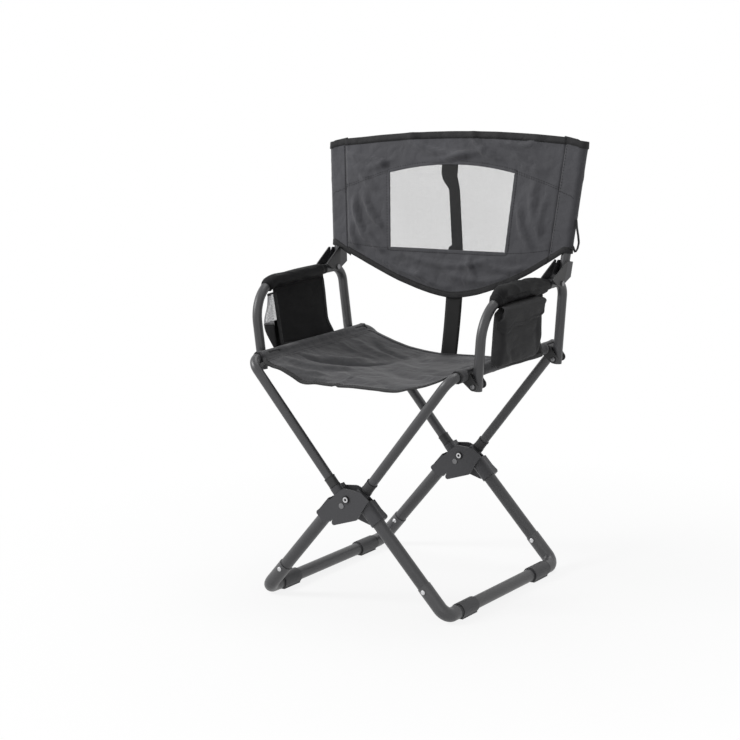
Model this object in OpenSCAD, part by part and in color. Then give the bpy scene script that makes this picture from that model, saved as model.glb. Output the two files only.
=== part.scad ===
// Folding camp chair with two crossed tube frames, a fabric seat and back, and armrests that stay
// upright while it folds sideways. X runs from the left side to the right as seen from in front,
// Y runs from the front to the back, and Z is up. The origin is on the floor, in the middle.

/* [Overall] */
// Distance between the front and the rear pair of crossed tubes
depth = 413; // [380:1:440]
// Distance between the centre lines of the two floor rails
foot_span = 418; // [400:1:440]
// Distance between the centre lines of the two seat rails
seat_span = 458; // [440:1:480]
// Height of the centre line of the seat rails
seat_h = 472; // [460:1:485]
// Height of the main pivots
hub_h = 222; // [215:1:230]

/* [Tubes] */
// Outer diameter of the legs and the floor rails
leg_d = 25; // [24:0.5:26]
// Outer diameter of the seat rails, the arm tubes and the back uprights
tube_d = 19; // [18:0.5:20]
// Wall of every tube
tube_wall = 1.5; // [1.2:0.1:2]
// Centre line radius of the corners of the seat tubes
seat_bend_r = 24; // [22:1:28]
// Distance from the pivot to the centre line of each crossing tube
hub_offset = 16.5; // [16:0.1:17]

/* [Hubs] */
// Thickness of the pressed plates
plate_t = 3; // [2.5:0.1:3.5]
// Distance from the plane of the tubes to the inner face of a plate
plate_gap = 15.6; // [15.3:0.1:17]
// Diameter of the main pivot
pivot_d = 8; // [7:0.5:9]
// Diameter of the ring head of the main pivot
pivot_head_d = 15; // [13:0.5:17]
// Wall of the leg socket
socket_wall = 2.4; // [2:0.1:2.6]
// Start of the leg socket, measured along the leg from the pivot
socket_start = 30; // [30:1:34]
// End of the leg socket
socket_end = 73; // [65:1:85]
// Wall of the saddle that holds the seat tube
saddle_wall = 2.2; // [1.8:0.1:2.4]
// Start of the saddle along the seat tube
saddle_start = 10; // [10:1:14]
// End of the saddle
saddle_end = 36; // [32:1:36]
// Length of the plastic collar on the seat tube
collar_len = 21; // [16:1:30]
// Wall of the plastic collar
collar_wall = 1.4; // [1:0.1:1.8]

/* [Feet] */
// Depth of the flat sole, cut from the round of a foot pad
sole_cut = 1; // [0.6:0.1:1.4]
// Width of the flat sole
sole_w = 20; // [14:1:24]
// Wall of the corner elbows
elbow_wall = 1.4; // [1:0.1:1.5]
// Centre line radius of the corner elbows
elbow_bend_r = 22; // [20:1:26]
// Length of the elbow along the leg, from the corner
elbow_leg_len = 72; // [60:1:90]
// Length of the elbow along the floor rail, from the corner
elbow_rail_len = 36; // [30:1:44]
// Length of a dark ring between elbow and foot pad
ring_len = 6; // [4:1:8]
// Length of a foot pad
pad_len = 54; // [40:1:70]
// Wall of a foot pad
pad_wall = 3; // [3:0.1:4]
// Distance of the leg rivet from the corner
leg_rivet_at = 62; // [50:1:66]

/* [Armrests] */
// Outward lean of the arms, in degrees
splay = 5.8; // [4:0.1:7]
// Sideways distance from a seat rail to the arm pins
arm_pin_out = 20; // [20:0.5:22]
// Distance of the arm pins below the seat rail
arm_pin_drop = 20; // [18:0.5:22]
// Distance of the front post behind the front tubes
front_post_at = 64; // [60:1:75]
// Distance of the rear arm posts ahead of the rear tubes
rear_post_in = 44; // [43:1:46]
// Height of the top of the arm tube above the arm pins, centre line
arm_rise = 157; // [145:1:170]
// Centre line radius of the front bend of the arm tube
arm_bend_r = 75; // [65:1:85]
// Centre line radius of the rear bend of the arm tube
rear_bend_r = 32; // [28:1:34]
// Diameter of the arm pins
arm_pin_d = 6; // [5:0.5:7]
// Length of the arm tube below its pin
arm_foot = 11; // [9:1:12]
// Inner width of the clevis brackets
clevis_gap = 30; // [28:1:31]
// Wall of the clevis brackets
clevis_wall = 3; // [2.5:0.1:3.5]
// Outer diameter of the fabric sleeve of the armrest
arm_sleeve_d = 25; // [24:0.5:26]
// Start angle of the armrest sleeve on the front bend, in degrees above level
sleeve_from = 62; // [50:1:75]
// Distance of the rear end of the armrest sleeve ahead of the rear posts
sleeve_stop = 76; // [75:1:90]

/* [Back] */
// Backward lean of the back, in degrees
back_lean = 8.7; // [6:0.1:12]
// Distance from the hinge pin to the centre line of the upright
back_offset = 25; // [24.5:0.5:28]
// Distance of the back hinge ahead of the rear tubes
hinge_in = 75; // [73:1:79]
// Diameter of the back hinge pins
hinge_pin_d = 6; // [5:0.5:7]
// Height of the upright's lower end above the hinge pin
upright_start = 13; // [13:1:16]
// Height of the top of the upright above the hinge pin
upright_end = 258; // [240:1:275]
// Wall of the channel that holds the upright
channel_wall = 2; // [1.5:0.1:2.5]
// Height of the channel above the hinge pin
channel_top = 43; // [40:1:43]

/* [Fabric] */
// Thickness of the seat and back fabric solids
cloth_t = 2; // [1.6:0.1:3]
// Clearance between fabric and the pieces beside it
cloth_gap = 0.3; // [0.3:0.05:0.6]
// Depth of the sag of the seat at its middle
seat_sag = 40; // [25:1:50]
// Height of the lower corners of the back above the hinge pin
back_low = 51; // [50:1:60]
// Depth of the curved lower edge of the back below its corners
back_belly = 97; // [80:1:100]
// Rise of the curved top edge of the back
back_crown = 18; // [5:1:25]
// Width of the mesh window
window_w = 286; // [240:1:300]
// Height of the mesh window
window_h = 158; // [120:1:165]
// Height of the bottom of the window above the hinge pin
window_low = 40; // [36:1:60]
// Width of the webbing straps
strap_w = 38; // [25:1:50]
// Thickness of the webbing straps
strap_t = 1.6; // [1.2:0.1:2.5]

/* [Pockets] */
// Length of the pocket on the right arm
pocket_len = 156; // [140:1:180]
// Height of the pocket on the right arm
pocket_h = 116; // [90:1:120]
// Thickness of the pocket on the right arm
pocket_t = 26; // [16:1:34]
// Height of the flap of the pocket
flap_h = 48; // [30:1:60]
// Thickness of the mesh pocket on the left arm
net_pocket_t = 34; // [20:1:36]
// Wall of the pockets
pocket_wall = 1.6; // [1.2:0.1:2.4]

/* [Hidden] */
$fn = 48;
HULL_FN = 24;
RUN_FIT = 0.05;
EPS = 0.5;

rail_h = leg_d / 2 + pad_wall - sole_cut;
y_front = -depth / 2;
y_rear = depth / 2;
// Rise from the pivot to a seat rail, and drop from the pivot to a floor rail
seat_rise = seat_h - hub_h;
foot_drop = hub_h - rail_h;
seat_reach = norm([seat_span / 2, seat_rise]);
foot_reach = norm([foot_span / 2, foot_drop]);
// Slopes of the crossing tubes, whose centre lines pass the pivot at hub_offset
seat_angle = atan2(seat_rise, seat_span / 2) + asin(hub_offset / seat_reach);
leg_angle = atan2(foot_drop, foot_span / 2) + asin(hub_offset / foot_reach);
// Lengths from each corner to the point of the tube beside the pivot
seat_tube_len = sqrt(pow(seat_reach, 2) - pow(hub_offset, 2));
leg_len = sqrt(pow(foot_reach, 2) - pow(hub_offset, 2));
plate_out = plate_gap + plate_t;
// Small sizes of the hardware
head_h = 2.5;
rivet_d = 4.2;
rivet_head_d = 9;
spacer_wall = 2;
socket_floor = 3;
plate_hub_r = 21;
plate_corner_r = 5;
plate_skirt_x = 20;
plate_skirt_z = 34;
stop_d = 7;
stop_gap = 0.2;
collar_gap = 1.5;
collar_rib = 2;
elbow_seat = 4;
ring_wall = 1.7;
clevis_boss = 5.5;
rail_gap = 0.25;
bush_wall = 3.5;
cap_h = 1.5;
hinge_plate_t = 2.5;
channel_gap = 0.25;
boss_step = 0.5;
hinge_plate_reach = 34;

arm_pin_x = seat_span / 2 + arm_pin_out;
arm_pin_z = seat_h - arm_pin_drop;
post_front_y = y_front + front_post_at;
bracket_out = clevis_gap / 2 + clevis_wall;
post_rear_y = y_rear - rear_post_in;
rear_bend_y = post_rear_y - rear_bend_r;
front_bend_y = post_front_y + arm_bend_r;

hinge_y = y_rear - hinge_in;
upright_len = upright_end - upright_start;
channel_in = tube_d / 2 + channel_gap;
channel_out = channel_in + channel_wall;
back_cloth_y = -tube_d / 2 - cloth_gap - cloth_t;
cloth_ring_r = tube_d / 2 + cloth_gap + cloth_t;
// Half width of the back between its uprights, at the level of the hinge pins
hinge_half = arm_pin_x + arm_rise * sin(splay);
back_top = upright_end + 4;

mid_lean = atan(tan(back_lean) / cos(splay));
mid_flare = asin(sin(splay) * cos(back_lean));

// Arm panels and pockets, as places in the plane of an arm
panel_front_gap = 54;
panel_rear_gap = 57;
pocket_lead = 17;
net_top_share = 0.55;
net_belly_at = 0.3;
net_low_share = 0.4;
sleeve_rear_y = post_rear_y - sleeve_stop;
panel_front_y = post_front_y + panel_front_gap;
panel_rear_y = post_rear_y - panel_rear_gap;
panel_taper = 14;
panel_top = arm_rise - arm_sleeve_d / 2 - cloth_gap;
panel_low = 22;
pocket_mouth = 12;
pocket_in = cloth_t / 2 + cloth_gap;
pocket_front_y = panel_front_y - pocket_lead;
pocket_top = panel_top - 1;
flap_hinge_x = arm_sleeve_d / 2 + 1.5;
// Slope cut off the pocket's top front corner, clear of the sleeve where it bends down
pocket_clear_r = arm_bend_r - arm_sleeve_d / 2 - cloth_gap;
pocket_from_bend = front_bend_y - pocket_front_y;
pocket_over_bend = pocket_top - arm_rise + arm_bend_r;
pocket_run = pocket_from_bend - sqrt(pow(pocket_clear_r, 2) - pow(pocket_over_bend, 2));
pocket_drop = pocket_over_bend - sqrt(pow(pocket_clear_r, 2) - pow(pocket_from_bend, 2));

// Seat and straps
seat_inner = seat_span / 2 - cloth_ring_r + cloth_t / 2;
seat_corner = 6;
seat_rim = 12;
window_flare = 6;
strap_y = back_offset + back_cloth_y + cloth_t + cloth_gap;
tag_at = 64;
tag_len = 50;
EDGE_STEPS = 12;
WINDOW_STEPS = 6;
SEAT_STEPS = 12;

// ---- shared shapes -------------------------------------------------------------------------

// Round bar along +X, from x = a to x = b
module bar_x(a, b, d) {
    translate([a, 0, 0]) rotate([0, 90, 0]) cylinder(d = d, h = b - a);
}

// Round bar along +Y, from y = a to y = b
module bar_y(a, b, d) {
    translate([0, a, 0]) rotate([-90, 0, 0]) cylinder(d = d, h = b - a);
}

// Quarter bend in the XY plane that joins a bar along -Y at x = 0 to a bar along +X at y = -r
module bend(r, d, turn = 90) {
    translate([r, 0, 0]) rotate([0, 0, 180]) rotate_extrude(angle = turn) translate([r, 0]) circle(d = d);
}

// Places children in the plane of a seat tube: +X runs from the rail down to the hub
module seat_plane(side) {
    mirror([side > 0 ? 1 : 0, 0, 0])
        translate([-seat_span / 2, 0, seat_h]) rotate([0, seat_angle, 0]) children();
}

// Places children in the plane of a leg frame: +X runs from the floor rail up to the hub
module leg_plane(side) {
    mirror([side > 0 ? 1 : 0, 0, 0])
        translate([-foot_span / 2, 0, rail_h]) rotate([0, -leg_angle, 0]) children();
}

// Places children in the upright plane of an arm: origin on the level of its pins, +X outward
module arm_plane(side) {
    mirror([side < 0 ? 1 : 0, 0, 0])
        translate([arm_pin_x, 0, arm_pin_z]) rotate([0, splay, 0]) children();
}

// Places children in the frame of an upright: origin at the hinge pin, +Z up along the upright
module back_plane(side) {
    arm_plane(side) translate([0, hinge_y, arm_rise]) rotate([-back_lean, 0, 0]) children();
}

// Outline in X and Z, given thickness from y = a to y = b
module prism_y(a, b) {
    translate([0, b, 0]) rotate([90, 0, 0]) linear_extrude(b - a) children();
}

// Outline in Y and Z, given thickness from x = a to x = b
module prism_x(a, b) {
    translate([a, 0, 0]) rotate([90, 0, 90]) linear_extrude(b - a) children();
}

// Bend in the YZ plane about the origin, that starts level with it on the +Y side
module bend_yz(r, turn, d) {
    rotate([90, 0, 90]) rotate_extrude(angle = turn) translate([r, 0]) circle(d = d);
}

// ---- crossed tube frames -------------------------------------------------------------------

// Path of a seat tube: a rail with a leg at each end that runs down to a hub
module seat_tube_path(d, extra) {
    bar_y(y_front + seat_bend_r, y_rear - seat_bend_r, d);
    for (m = [0, 1]) mirror([0, m, 0]) translate([0, y_front, 0]) {
        translate([0, seat_bend_r, 0]) bend(seat_bend_r, d);
        bar_x(seat_bend_r, seat_tube_len + extra, d);
    }
}

module seat_tube(side) {
    color("dimgray") seat_plane(side) difference() {
        seat_tube_path(tube_d, 0);
        seat_tube_path(tube_d - 2 * tube_wall, EPS);
    }
}

// Straight leg from an elbow up to the socket of its hub
module leg_tube(side, end) {
    from = elbow_bend_r + elbow_seat;
    to = leg_len - socket_start - socket_floor;
    color("dimgray") leg_plane(side) translate([0, end * depth / 2, 0]) difference() {
        bar_x(from, to, leg_d);
        bar_x(from - EPS, to + EPS, leg_d - 2 * tube_wall);
        translate([leg_rivet_at, 0, 0]) bar_y(-leg_d, leg_d, rivet_d);
    }
}

module floor_rail(side) {
    from = y_front + elbow_bend_r + elbow_seat;
    color("dimgray") leg_plane(side) difference() {
        bar_y(from, -from, leg_d);
        bar_y(from - EPS, -from + EPS, leg_d - 2 * tube_wall);
    }
}

// Moulded elbow whose two sockets take the leg and the floor rail
module elbow(side, end) {
    d = leg_d + 2 * elbow_wall;
    color("dimgray") leg_plane(side) mirror([0, end > 0 ? 1 : 0, 0]) translate([0, y_front, 0])
        difference() {
            union() {
                translate([0, elbow_bend_r, 0]) bend(elbow_bend_r, d);
                bar_x(elbow_bend_r, elbow_leg_len, d);
                bar_y(elbow_bend_r, elbow_rail_len, d);
            }
            bar_x(elbow_bend_r + elbow_seat, elbow_leg_len + EPS, leg_d);
            bar_y(elbow_bend_r + elbow_seat, elbow_rail_len + EPS, leg_d);
            translate([leg_rivet_at, 0, 0]) bar_y(-d, d, rivet_d);
        }
}

// Dark rings between the elbows and the foot pads
module rail_rings(side) {
    color([0.07, 0.07, 0.08]) leg_plane(side) for (m = [0, 1]) mirror([0, m, 0])
        translate([0, y_front + elbow_rail_len, 0]) difference() {
            bar_y(0, ring_len, leg_d + 2 * ring_wall);
            bar_y(-EPS, ring_len + EPS, leg_d);
        }
}

// Plastic pads around the floor rail, flattened where they stand on the floor
module foot_pads(side) {
    r = leg_d / 2 + pad_wall;
    color([0.2, 0.2, 0.21]) translate([side * foot_span / 2, 0, rail_h])
        for (m = [0, 1]) mirror([0, m, 0]) translate([0, y_front + elbow_rail_len + ring_len, 0])
            difference() {
                union() {
                    bar_y(0, pad_len, 2 * r);
                    translate([-sole_w / 2, 0, -rail_h]) cube([sole_w, pad_len, rail_h - leg_d / 4]);
                }
                bar_y(-EPS, pad_len + EPS, leg_d);
                translate([-r, -EPS, -rail_h - r]) cube([2 * r, pad_len + 2 * EPS, r]);
            }
}

// Dome-headed rivet along Y through a round of the given diameter
module rivet_y(through, shank) {
    bar_y(-through / 2, through / 2, shank);
    for (m = [0, 1]) mirror([0, m, 0]) translate([0, through / 2, 0]) rotate([-90, 0, 0])
        rotate_extrude() intersection() {
            translate([0, head_h - rivet_head_d]) circle(r = rivet_head_d);
            square([rivet_head_d / 2, head_h]);
        }
}

module leg_rivets(side) {
    color("silver") leg_plane(side) for (end = [-1, 1])
        translate([leg_rivet_at, end * depth / 2, 0]) rivet_y(leg_d + 2 * elbow_wall, rivet_d);
}

// ---- scissor hubs --------------------------------------------------------------------------

// Places children at a hub; the second bracket of a hub is the first one turned about Z
module hub_at(end, second) {
    translate([0, end * depth / 2, hub_h]) rotate([0, 0, second ? 180 : 0]) children();
}

// Axis of the lower leg of a bracket, +X down the leg from the point beside the pivot
module hub_leg_axis() {
    mirror([1, 0, 0]) rotate([0, leg_angle, 0]) translate([0, 0, hub_offset]) children();
}

// Axis of the seat tube of a bracket, +X up the tube from the point beside the pivot
module hub_seat_axis() {
    rotate([0, -seat_angle, 0]) translate([0, 0, -hub_offset]) children();
}

// Disc of the plate outline at a place in X and Z
module plate_disc(place, r) {
    translate([place[0], 0, place[1]]) bar_y(-plate_out, -plate_gap, 2 * r, $fn = HULL_FN);
}

// Pressed plate of a bracket, in front of the tubes
module hub_plate() {
    lobe = leg_d / 2 + socket_wall;
    hull() {
        plate_disc([0, 0], plate_hub_r);
        hub_leg_axis() for (s = [-1, 1])
            plate_disc([socket_end - plate_corner_r, s * (lobe - plate_corner_r)], plate_corner_r);
    }
    hull() {
        plate_disc([0, 0], plate_hub_r);
        plate_disc([plate_skirt_x, -plate_skirt_z], plate_corner_r);
        hub_seat_axis() for (z = [0, -tube_d * 0.9])
            plate_disc([saddle_end - plate_corner_r, z], plate_corner_r);
    }
    hull() {
        plate_disc([0, 0], plate_hub_r / 2);
        plate_disc([plate_skirt_x, -plate_skirt_z], plate_corner_r);
        plate_disc([-plate_skirt_x * 1.5, -plate_skirt_z - plate_corner_r * 3], plate_corner_r);
    }
}

// Bracket of one frame at one hub: a plate, a socket for the leg and a saddle for the seat tube
module hub_bracket(end, second) {
    socket_d = leg_d + 2 * socket_wall;
    saddle_d = tube_d + 2 * saddle_wall;
    hole_d = second ? pivot_d : pivot_d + 2 * RUN_FIT;
    color([0.17, 0.17, 0.18]) hub_at(end, second) difference() {
        union() {
            hub_plate();
            hub_leg_axis() {
                bar_x(socket_start, socket_end, socket_d);
                translate([socket_start, -plate_gap - EPS, -socket_d / 2 + EPS])
                    cube([socket_end - socket_start, plate_gap, socket_d - 2 * EPS]);
            }
            hub_seat_axis() {
                bar_x(saddle_start, saddle_end, saddle_d);
                translate([saddle_start, -plate_gap - EPS, -saddle_d / 2 + EPS])
                    cube([saddle_end - saddle_start, plate_gap, saddle_d - 2 * EPS]);
            }
        }
        hub_leg_axis() bar_x(socket_start + socket_floor, socket_end + EPS, leg_d);
        hub_seat_axis() bar_x(saddle_start - EPS, saddle_end + EPS, tube_d);
        bar_y(-plate_out - EPS, 0, hole_d);
        stop_place() bar_y(-plate_out - EPS, 0, stop_d);
    }
}

// Ring-headed pivot with a thick middle that keeps the two plates of a hub apart
module main_pivot(end) {
    color("silver") hub_at(end, false) {
        bar_y(-plate_out, plate_out, pivot_d);
        bar_y(-plate_gap, plate_gap, pivot_d + 2 * spacer_wall);
        for (m = [0, 1]) mirror([0, m, 0]) difference() {
            bar_y(plate_out, plate_out + head_h, pivot_head_d);
            bar_y(plate_out + head_h / 3, plate_out + head_h + EPS, pivot_d * 0.7);
        }
    }
}

// Place just past the end of the other frame's seat tube, where it stops the chair opening
module stop_place() {
    mirror([1, 0, 0]) hub_seat_axis() translate([-stop_d / 2 - stop_gap, 0, 0]) children();
}

// Pins that the ends of the other frame's seat tubes rest on when the chair is open
module stop_pins(second) {
    color("silver") for (end = [-1, 1]) hub_at(end, second) stop_place() {
        bar_y(-plate_out, -stop_gap, stop_d);
        bar_y(-plate_out - head_h / 2, -plate_out, stop_d * 1.6);
    }
}

// Ribbed plastic collars on the seat tube just above each hub
module tube_collars(second) {
    from = saddle_end + collar_gap;
    color([0.1, 0.1, 0.11]) for (end = [-1, 1]) hub_at(end, second) hub_seat_axis() difference() {
        union() {
            bar_x(from, from + collar_len, tube_d + 2 * collar_wall);
            for (x = [from, from + collar_len - collar_rib])
                bar_x(x, x + collar_rib, tube_d + 2 * collar_wall + collar_rib / 2);
        }
        bar_x(from - EPS, from + collar_len + EPS, tube_d);
    }
}

// ---- armrests ------------------------------------------------------------------------------

// Outline of a clevis ear: a boss round the pin that wraps the outer side of the rail
module clevis_outline() {
    r = tube_d / 2 + clevis_wall;
    difference() {
        hull() {
            translate([arm_pin_out, -arm_pin_drop]) circle(r = arm_pin_d / 2 + clevis_boss, $fn = HULL_FN);
            for (a = [30, -105]) rotate(a) translate([r - clevis_wall / 2, 0])
                circle(d = clevis_wall, $fn = HULL_FN);
        }
        circle(r = tube_d / 2 + rail_gap);
    }
}

// Cradle between the two ears, bent round the underside of the rail
module clevis_cradle() {
    reach = 2 * tube_d;
    intersection() {
        difference() {
            circle(r = tube_d / 2 + clevis_wall);
            circle(r = tube_d / 2 + rail_gap);
        }
        polygon([[0, 0], reach * [cos(-125), sin(-125)], reach * [cos(-55), sin(-55)]]);
    }
}

module arm_brackets(side) {
    color([0.09, 0.09, 0.1]) mirror([side < 0 ? 1 : 0, 0, 0]) for (y = [post_front_y, post_rear_y])
        translate([seat_span / 2, y, seat_h]) difference() {
            union() {
                prism_y(-bracket_out, -clevis_gap / 2) clevis_outline();
                prism_y(clevis_gap / 2, bracket_out) clevis_outline();
                prism_y(-bracket_out, bracket_out) clevis_cradle();
            }
            translate([arm_pin_out, 0, -arm_pin_drop]) bar_y(-2 * bracket_out, 2 * bracket_out, arm_pin_d);
        }
}

module arm_pins(side) {
    color("silver") for (y = [post_front_y, post_rear_y])
        translate([side * arm_pin_x, y, arm_pin_z]) rivet_y(2 * bracket_out, arm_pin_d);
}

// Nylon bushes that fill the clevis on both sides of a post
module arm_bushes(side) {
    color([0.05, 0.05, 0.05]) for (y = [post_front_y, post_rear_y])
        translate([side * arm_pin_x, y, arm_pin_z]) difference() {
            bar_y(-clevis_gap / 2 + cloth_gap, clevis_gap / 2 - cloth_gap, arm_pin_d + 2 * bush_wall);
            bar_y(-clevis_gap, clevis_gap, arm_pin_d + 2 * RUN_FIT);
            rotate([0, side * splay, 0]) translate([0, 0, -tube_d]) cylinder(d = tube_d, h = 2 * tube_d);
        }
}

// Front bend of the arm, or the first part of it from its top
module front_bend(turn, d) {
    translate([0, front_bend_y, arm_rise - arm_bend_r]) rotate([90, 0, 0]) bend_yz(arm_bend_r, turn, d);
}

// Path of an arm tube: front post, wide front bend, top, tight rear bend and rear post
module arm_path(d, foot) {
    translate([0, post_front_y, -foot]) cylinder(d = d, h = arm_rise - arm_bend_r + foot);
    front_bend(90, d);
    translate([0, 0, arm_rise]) bar_y(front_bend_y, rear_bend_y, d);
    translate([0, rear_bend_y, arm_rise - rear_bend_r]) bend_yz(rear_bend_r, 90, d);
    translate([0, post_rear_y, -foot]) cylinder(d = d, h = arm_rise - rear_bend_r + foot);
}

module arm_tube(side) {
    color("dimgray") arm_plane(side) difference() {
        arm_path(tube_d, arm_foot);
        arm_path(tube_d - 2 * tube_wall, arm_foot - tube_wall);
        for (y = [post_front_y, post_rear_y]) translate([0, y, 0])
            bar_y(-tube_d, tube_d, arm_pin_d + 2 * RUN_FIT);
        translate([0, hinge_y, arm_rise]) bar_x(-tube_d, tube_d, hinge_pin_d);
    }
}

// Fabric sleeve wrapped round the top of the arm tube
module arm_sleeve_solid(d) {
    front_bend(90 - sleeve_from, d);
    translate([0, 0, arm_rise]) bar_y(front_bend_y, sleeve_rear_y, d);
}

module arm_sleeve(side) {
    color([0.12, 0.12, 0.13]) arm_plane(side) difference() {
        arm_sleeve_solid(arm_sleeve_d);
        arm_sleeve_solid(tube_d + 2 * cloth_gap);
    }
}

// Fabric panel that hangs from the sleeve inside the arm frame
module arm_panel(side) {
    color([0.08, 0.08, 0.09]) arm_plane(side) prism_x(-cloth_t / 2, cloth_t / 2) polygon([
        [panel_front_y, panel_top - tube_d / 4],
        [front_bend_y, panel_top],
        [sleeve_rear_y, panel_top],
        [panel_rear_y, panel_low - panel_taper / 2],
        [panel_front_y + panel_taper, panel_low]
    ]);
}

// Slice of a pocket: its reach outward and the height at which it lies
module pocket_slice(from, to, out, z) {
    translate([pocket_in, from, z]) cube([out, to - from, EPS]);
}

// Body of a pocket from three slices, smaller all round by a wall inside
module pocket_form(from, to, thick, low, high, inset) {
    hull() {
        pocket_slice(from + inset, to - inset, thick * net_top_share - inset, high - EPS + 3 * inset);
        pocket_slice(from + inset, to - inset, thick - inset, low + (high - low) * net_belly_at);
        pocket_slice(from + inset * 2, to - inset * 2, thick * net_low_share - inset, low + inset);
    }
}

// Open-topped net pocket on the outside of the left arm
module net_pocket_left() {
    color([0.6, 0.6, 0.6]) arm_plane(-1) difference() {
        pocket_form(panel_front_y, panel_rear_y - panel_taper, net_pocket_t, panel_low,
            panel_top - pocket_mouth, 0);
        translate([pocket_wall, 0, 0]) pocket_form(panel_front_y, panel_rear_y - panel_taper,
            net_pocket_t - pocket_wall, panel_low, panel_top - pocket_mouth, pocket_wall);
    }
}

// Side view of the cargo pocket, smaller all round by an inset
module pocket_outline(inset) {
    slope = sqrt(pow(pocket_run, 2) + pow(pocket_drop, 2));
    low = pocket_top - pocket_h + inset;
    front = pocket_front_y + inset;
    rear = pocket_front_y + pocket_len - inset;
    polygon([
        [front, low], [rear, low], [rear, pocket_top - inset],
        [pocket_front_y + pocket_run + inset * (slope - pocket_run) / pocket_drop, pocket_top - inset],
        [front, pocket_top - pocket_drop - inset * (slope - pocket_drop) / pocket_run]
    ]);
}

// Cargo pocket on the outside of the right arm, open at its top outside a fixed strip
module side_pocket_right() {
    mouth_y = pocket_front_y + pocket_run + pocket_wall;
    color([0.1, 0.1, 0.11]) arm_plane(1) difference() {
        prism_x(pocket_in, pocket_in + pocket_t) pocket_outline(0);
        prism_x(pocket_in + pocket_wall, pocket_in + pocket_t - pocket_wall) pocket_outline(pocket_wall);
        translate([flap_hinge_x, mouth_y, pocket_top - 2 * pocket_wall])
            cube([pocket_in + pocket_t - pocket_wall - flap_hinge_x,
                pocket_front_y + pocket_len - pocket_wall - mouth_y, pocket_h]);
    }
}

// Flap that lies over the mouth of the cargo pocket and hangs down its face
module pocket_flap_right() {
    out = pocket_in + pocket_t + cloth_gap;
    length = pocket_len - pocket_drop;
    color([0.11, 0.11, 0.12]) arm_plane(1)
        translate([0, pocket_front_y + pocket_drop, pocket_top + cloth_gap]) {
            translate([flap_hinge_x, 0, 0]) cube([out + pocket_wall - flap_hinge_x, length, pocket_wall]);
            translate([out, 0, pocket_wall - flap_h]) cube([pocket_wall, length, flap_h]);
        }
}

// ---- folding back --------------------------------------------------------------------------

module hinge_pin(side) {
    reach = channel_out + hinge_plate_t;
    color("silver") arm_plane(side) translate([0, hinge_y, arm_rise]) {
        bar_x(-reach, reach, hinge_pin_d);
        for (m = [0, 1]) mirror([m, 0, 0]) bar_x(reach, reach + head_h, hinge_pin_d + rivet_d);
    }
}

// Channel that holds the lower end of an upright and straddles the arm tube at the hinge
module back_bracket(side) {
    rear = back_offset + tube_d / 2 + RUN_FIT * 2;
    color([0.2, 0.2, 0.21]) back_plane(side) difference() {
        union() {
            for (m = [0, 1]) mirror([m, 0, 0]) prism_x(channel_in, channel_out) hull() {
                circle(r = hinge_pin_d / 2 + clevis_boss, $fn = HULL_FN);
                translate([back_offset - tube_d / 2, upright_start])
                    square([rear + channel_wall - back_offset + tube_d / 2, channel_top - upright_start]);
            }
            translate([-channel_out, rear, upright_start])
                cube([2 * channel_out, channel_wall, channel_top - upright_start]);
        }
        bar_x(-2 * channel_out, 2 * channel_out, hinge_pin_d + 2 * RUN_FIT);
    }
}

// Moulded side plates on the hinge, which reach forward along the arm
module hinge_plates(side) {
    color([0.04, 0.04, 0.04]) back_plane(side) for (m = [0, 1]) mirror([m, 0, 0]) difference() {
        prism_x(channel_out, channel_out + hinge_plate_t) hull() {
            circle(r = hinge_pin_d / 2 + clevis_boss - boss_step, $fn = HULL_FN);
            translate([-hinge_plate_reach, clevis_boss]) circle(r = plate_t, $fn = HULL_FN);
            translate([back_offset / 3, channel_top - plate_t]) circle(r = plate_t, $fn = HULL_FN);
        }
        bar_x(-2 * channel_out, 2 * channel_out, hinge_pin_d + 2 * RUN_FIT);
    }
}

module upright(side) {
    color("dimgray") back_plane(side) translate([0, back_offset, upright_start]) difference() {
        cylinder(d = tube_d, h = upright_len);
        translate([0, 0, -EPS]) cylinder(d = tube_d - 2 * tube_wall, h = upright_len + 2 * EPS);
    }
}

module upright_cap(side) {
    color([0.05, 0.05, 0.05]) back_plane(side) translate([0, back_offset, upright_end]) {
        rotate_extrude() intersection() {
            translate([0, -tube_d]) circle(r = tube_d + cap_h);
            square([tube_d / 2, cap_h + EPS]);
        }
        translate([0, 0, -tube_d / 2]) cylinder(d = tube_d - 2 * tube_wall, h = tube_d / 2);
    }
}

// Frame midway between the uprights, parallel to the plane that holds both of them
module back_mid() {
    translate([0, hinge_y, arm_pin_z + arm_rise * cos(splay)]) rotate([-mid_lean, 0, 0]) children();
}

// Half width between the centre lines of the uprights at a height above the hinge
function back_half(z) = hinge_half + z * tan(mid_flare);

// Edge of the back from one upright to the other, bulging by depth between its ends
function back_edge(z, bulge, power) = [
    for (i = [-EDGE_STEPS : EDGE_STEPS])
        let (u = i / EDGE_STEPS) [u * back_half(z), z + bulge * (1 - pow(abs(u), power))]
];
function reversed(list) = [for (i = [len(list) - 1 : -1 : 0]) list[i]];

// Window outline, wider and arched at its top
function window_outline(inset) = concat(
    [for (i = [-WINDOW_STEPS : WINDOW_STEPS])
        let (u = i / WINDOW_STEPS)
        [u * (window_w / 2 + window_flare - inset),
         window_low + window_h - inset + window_flare * 1.6 * (1 - u * u)]],
    [[window_w / 2 - window_flare - inset, window_low + inset],
     [-window_w / 2 + window_flare + inset, window_low + inset]]
);

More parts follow.
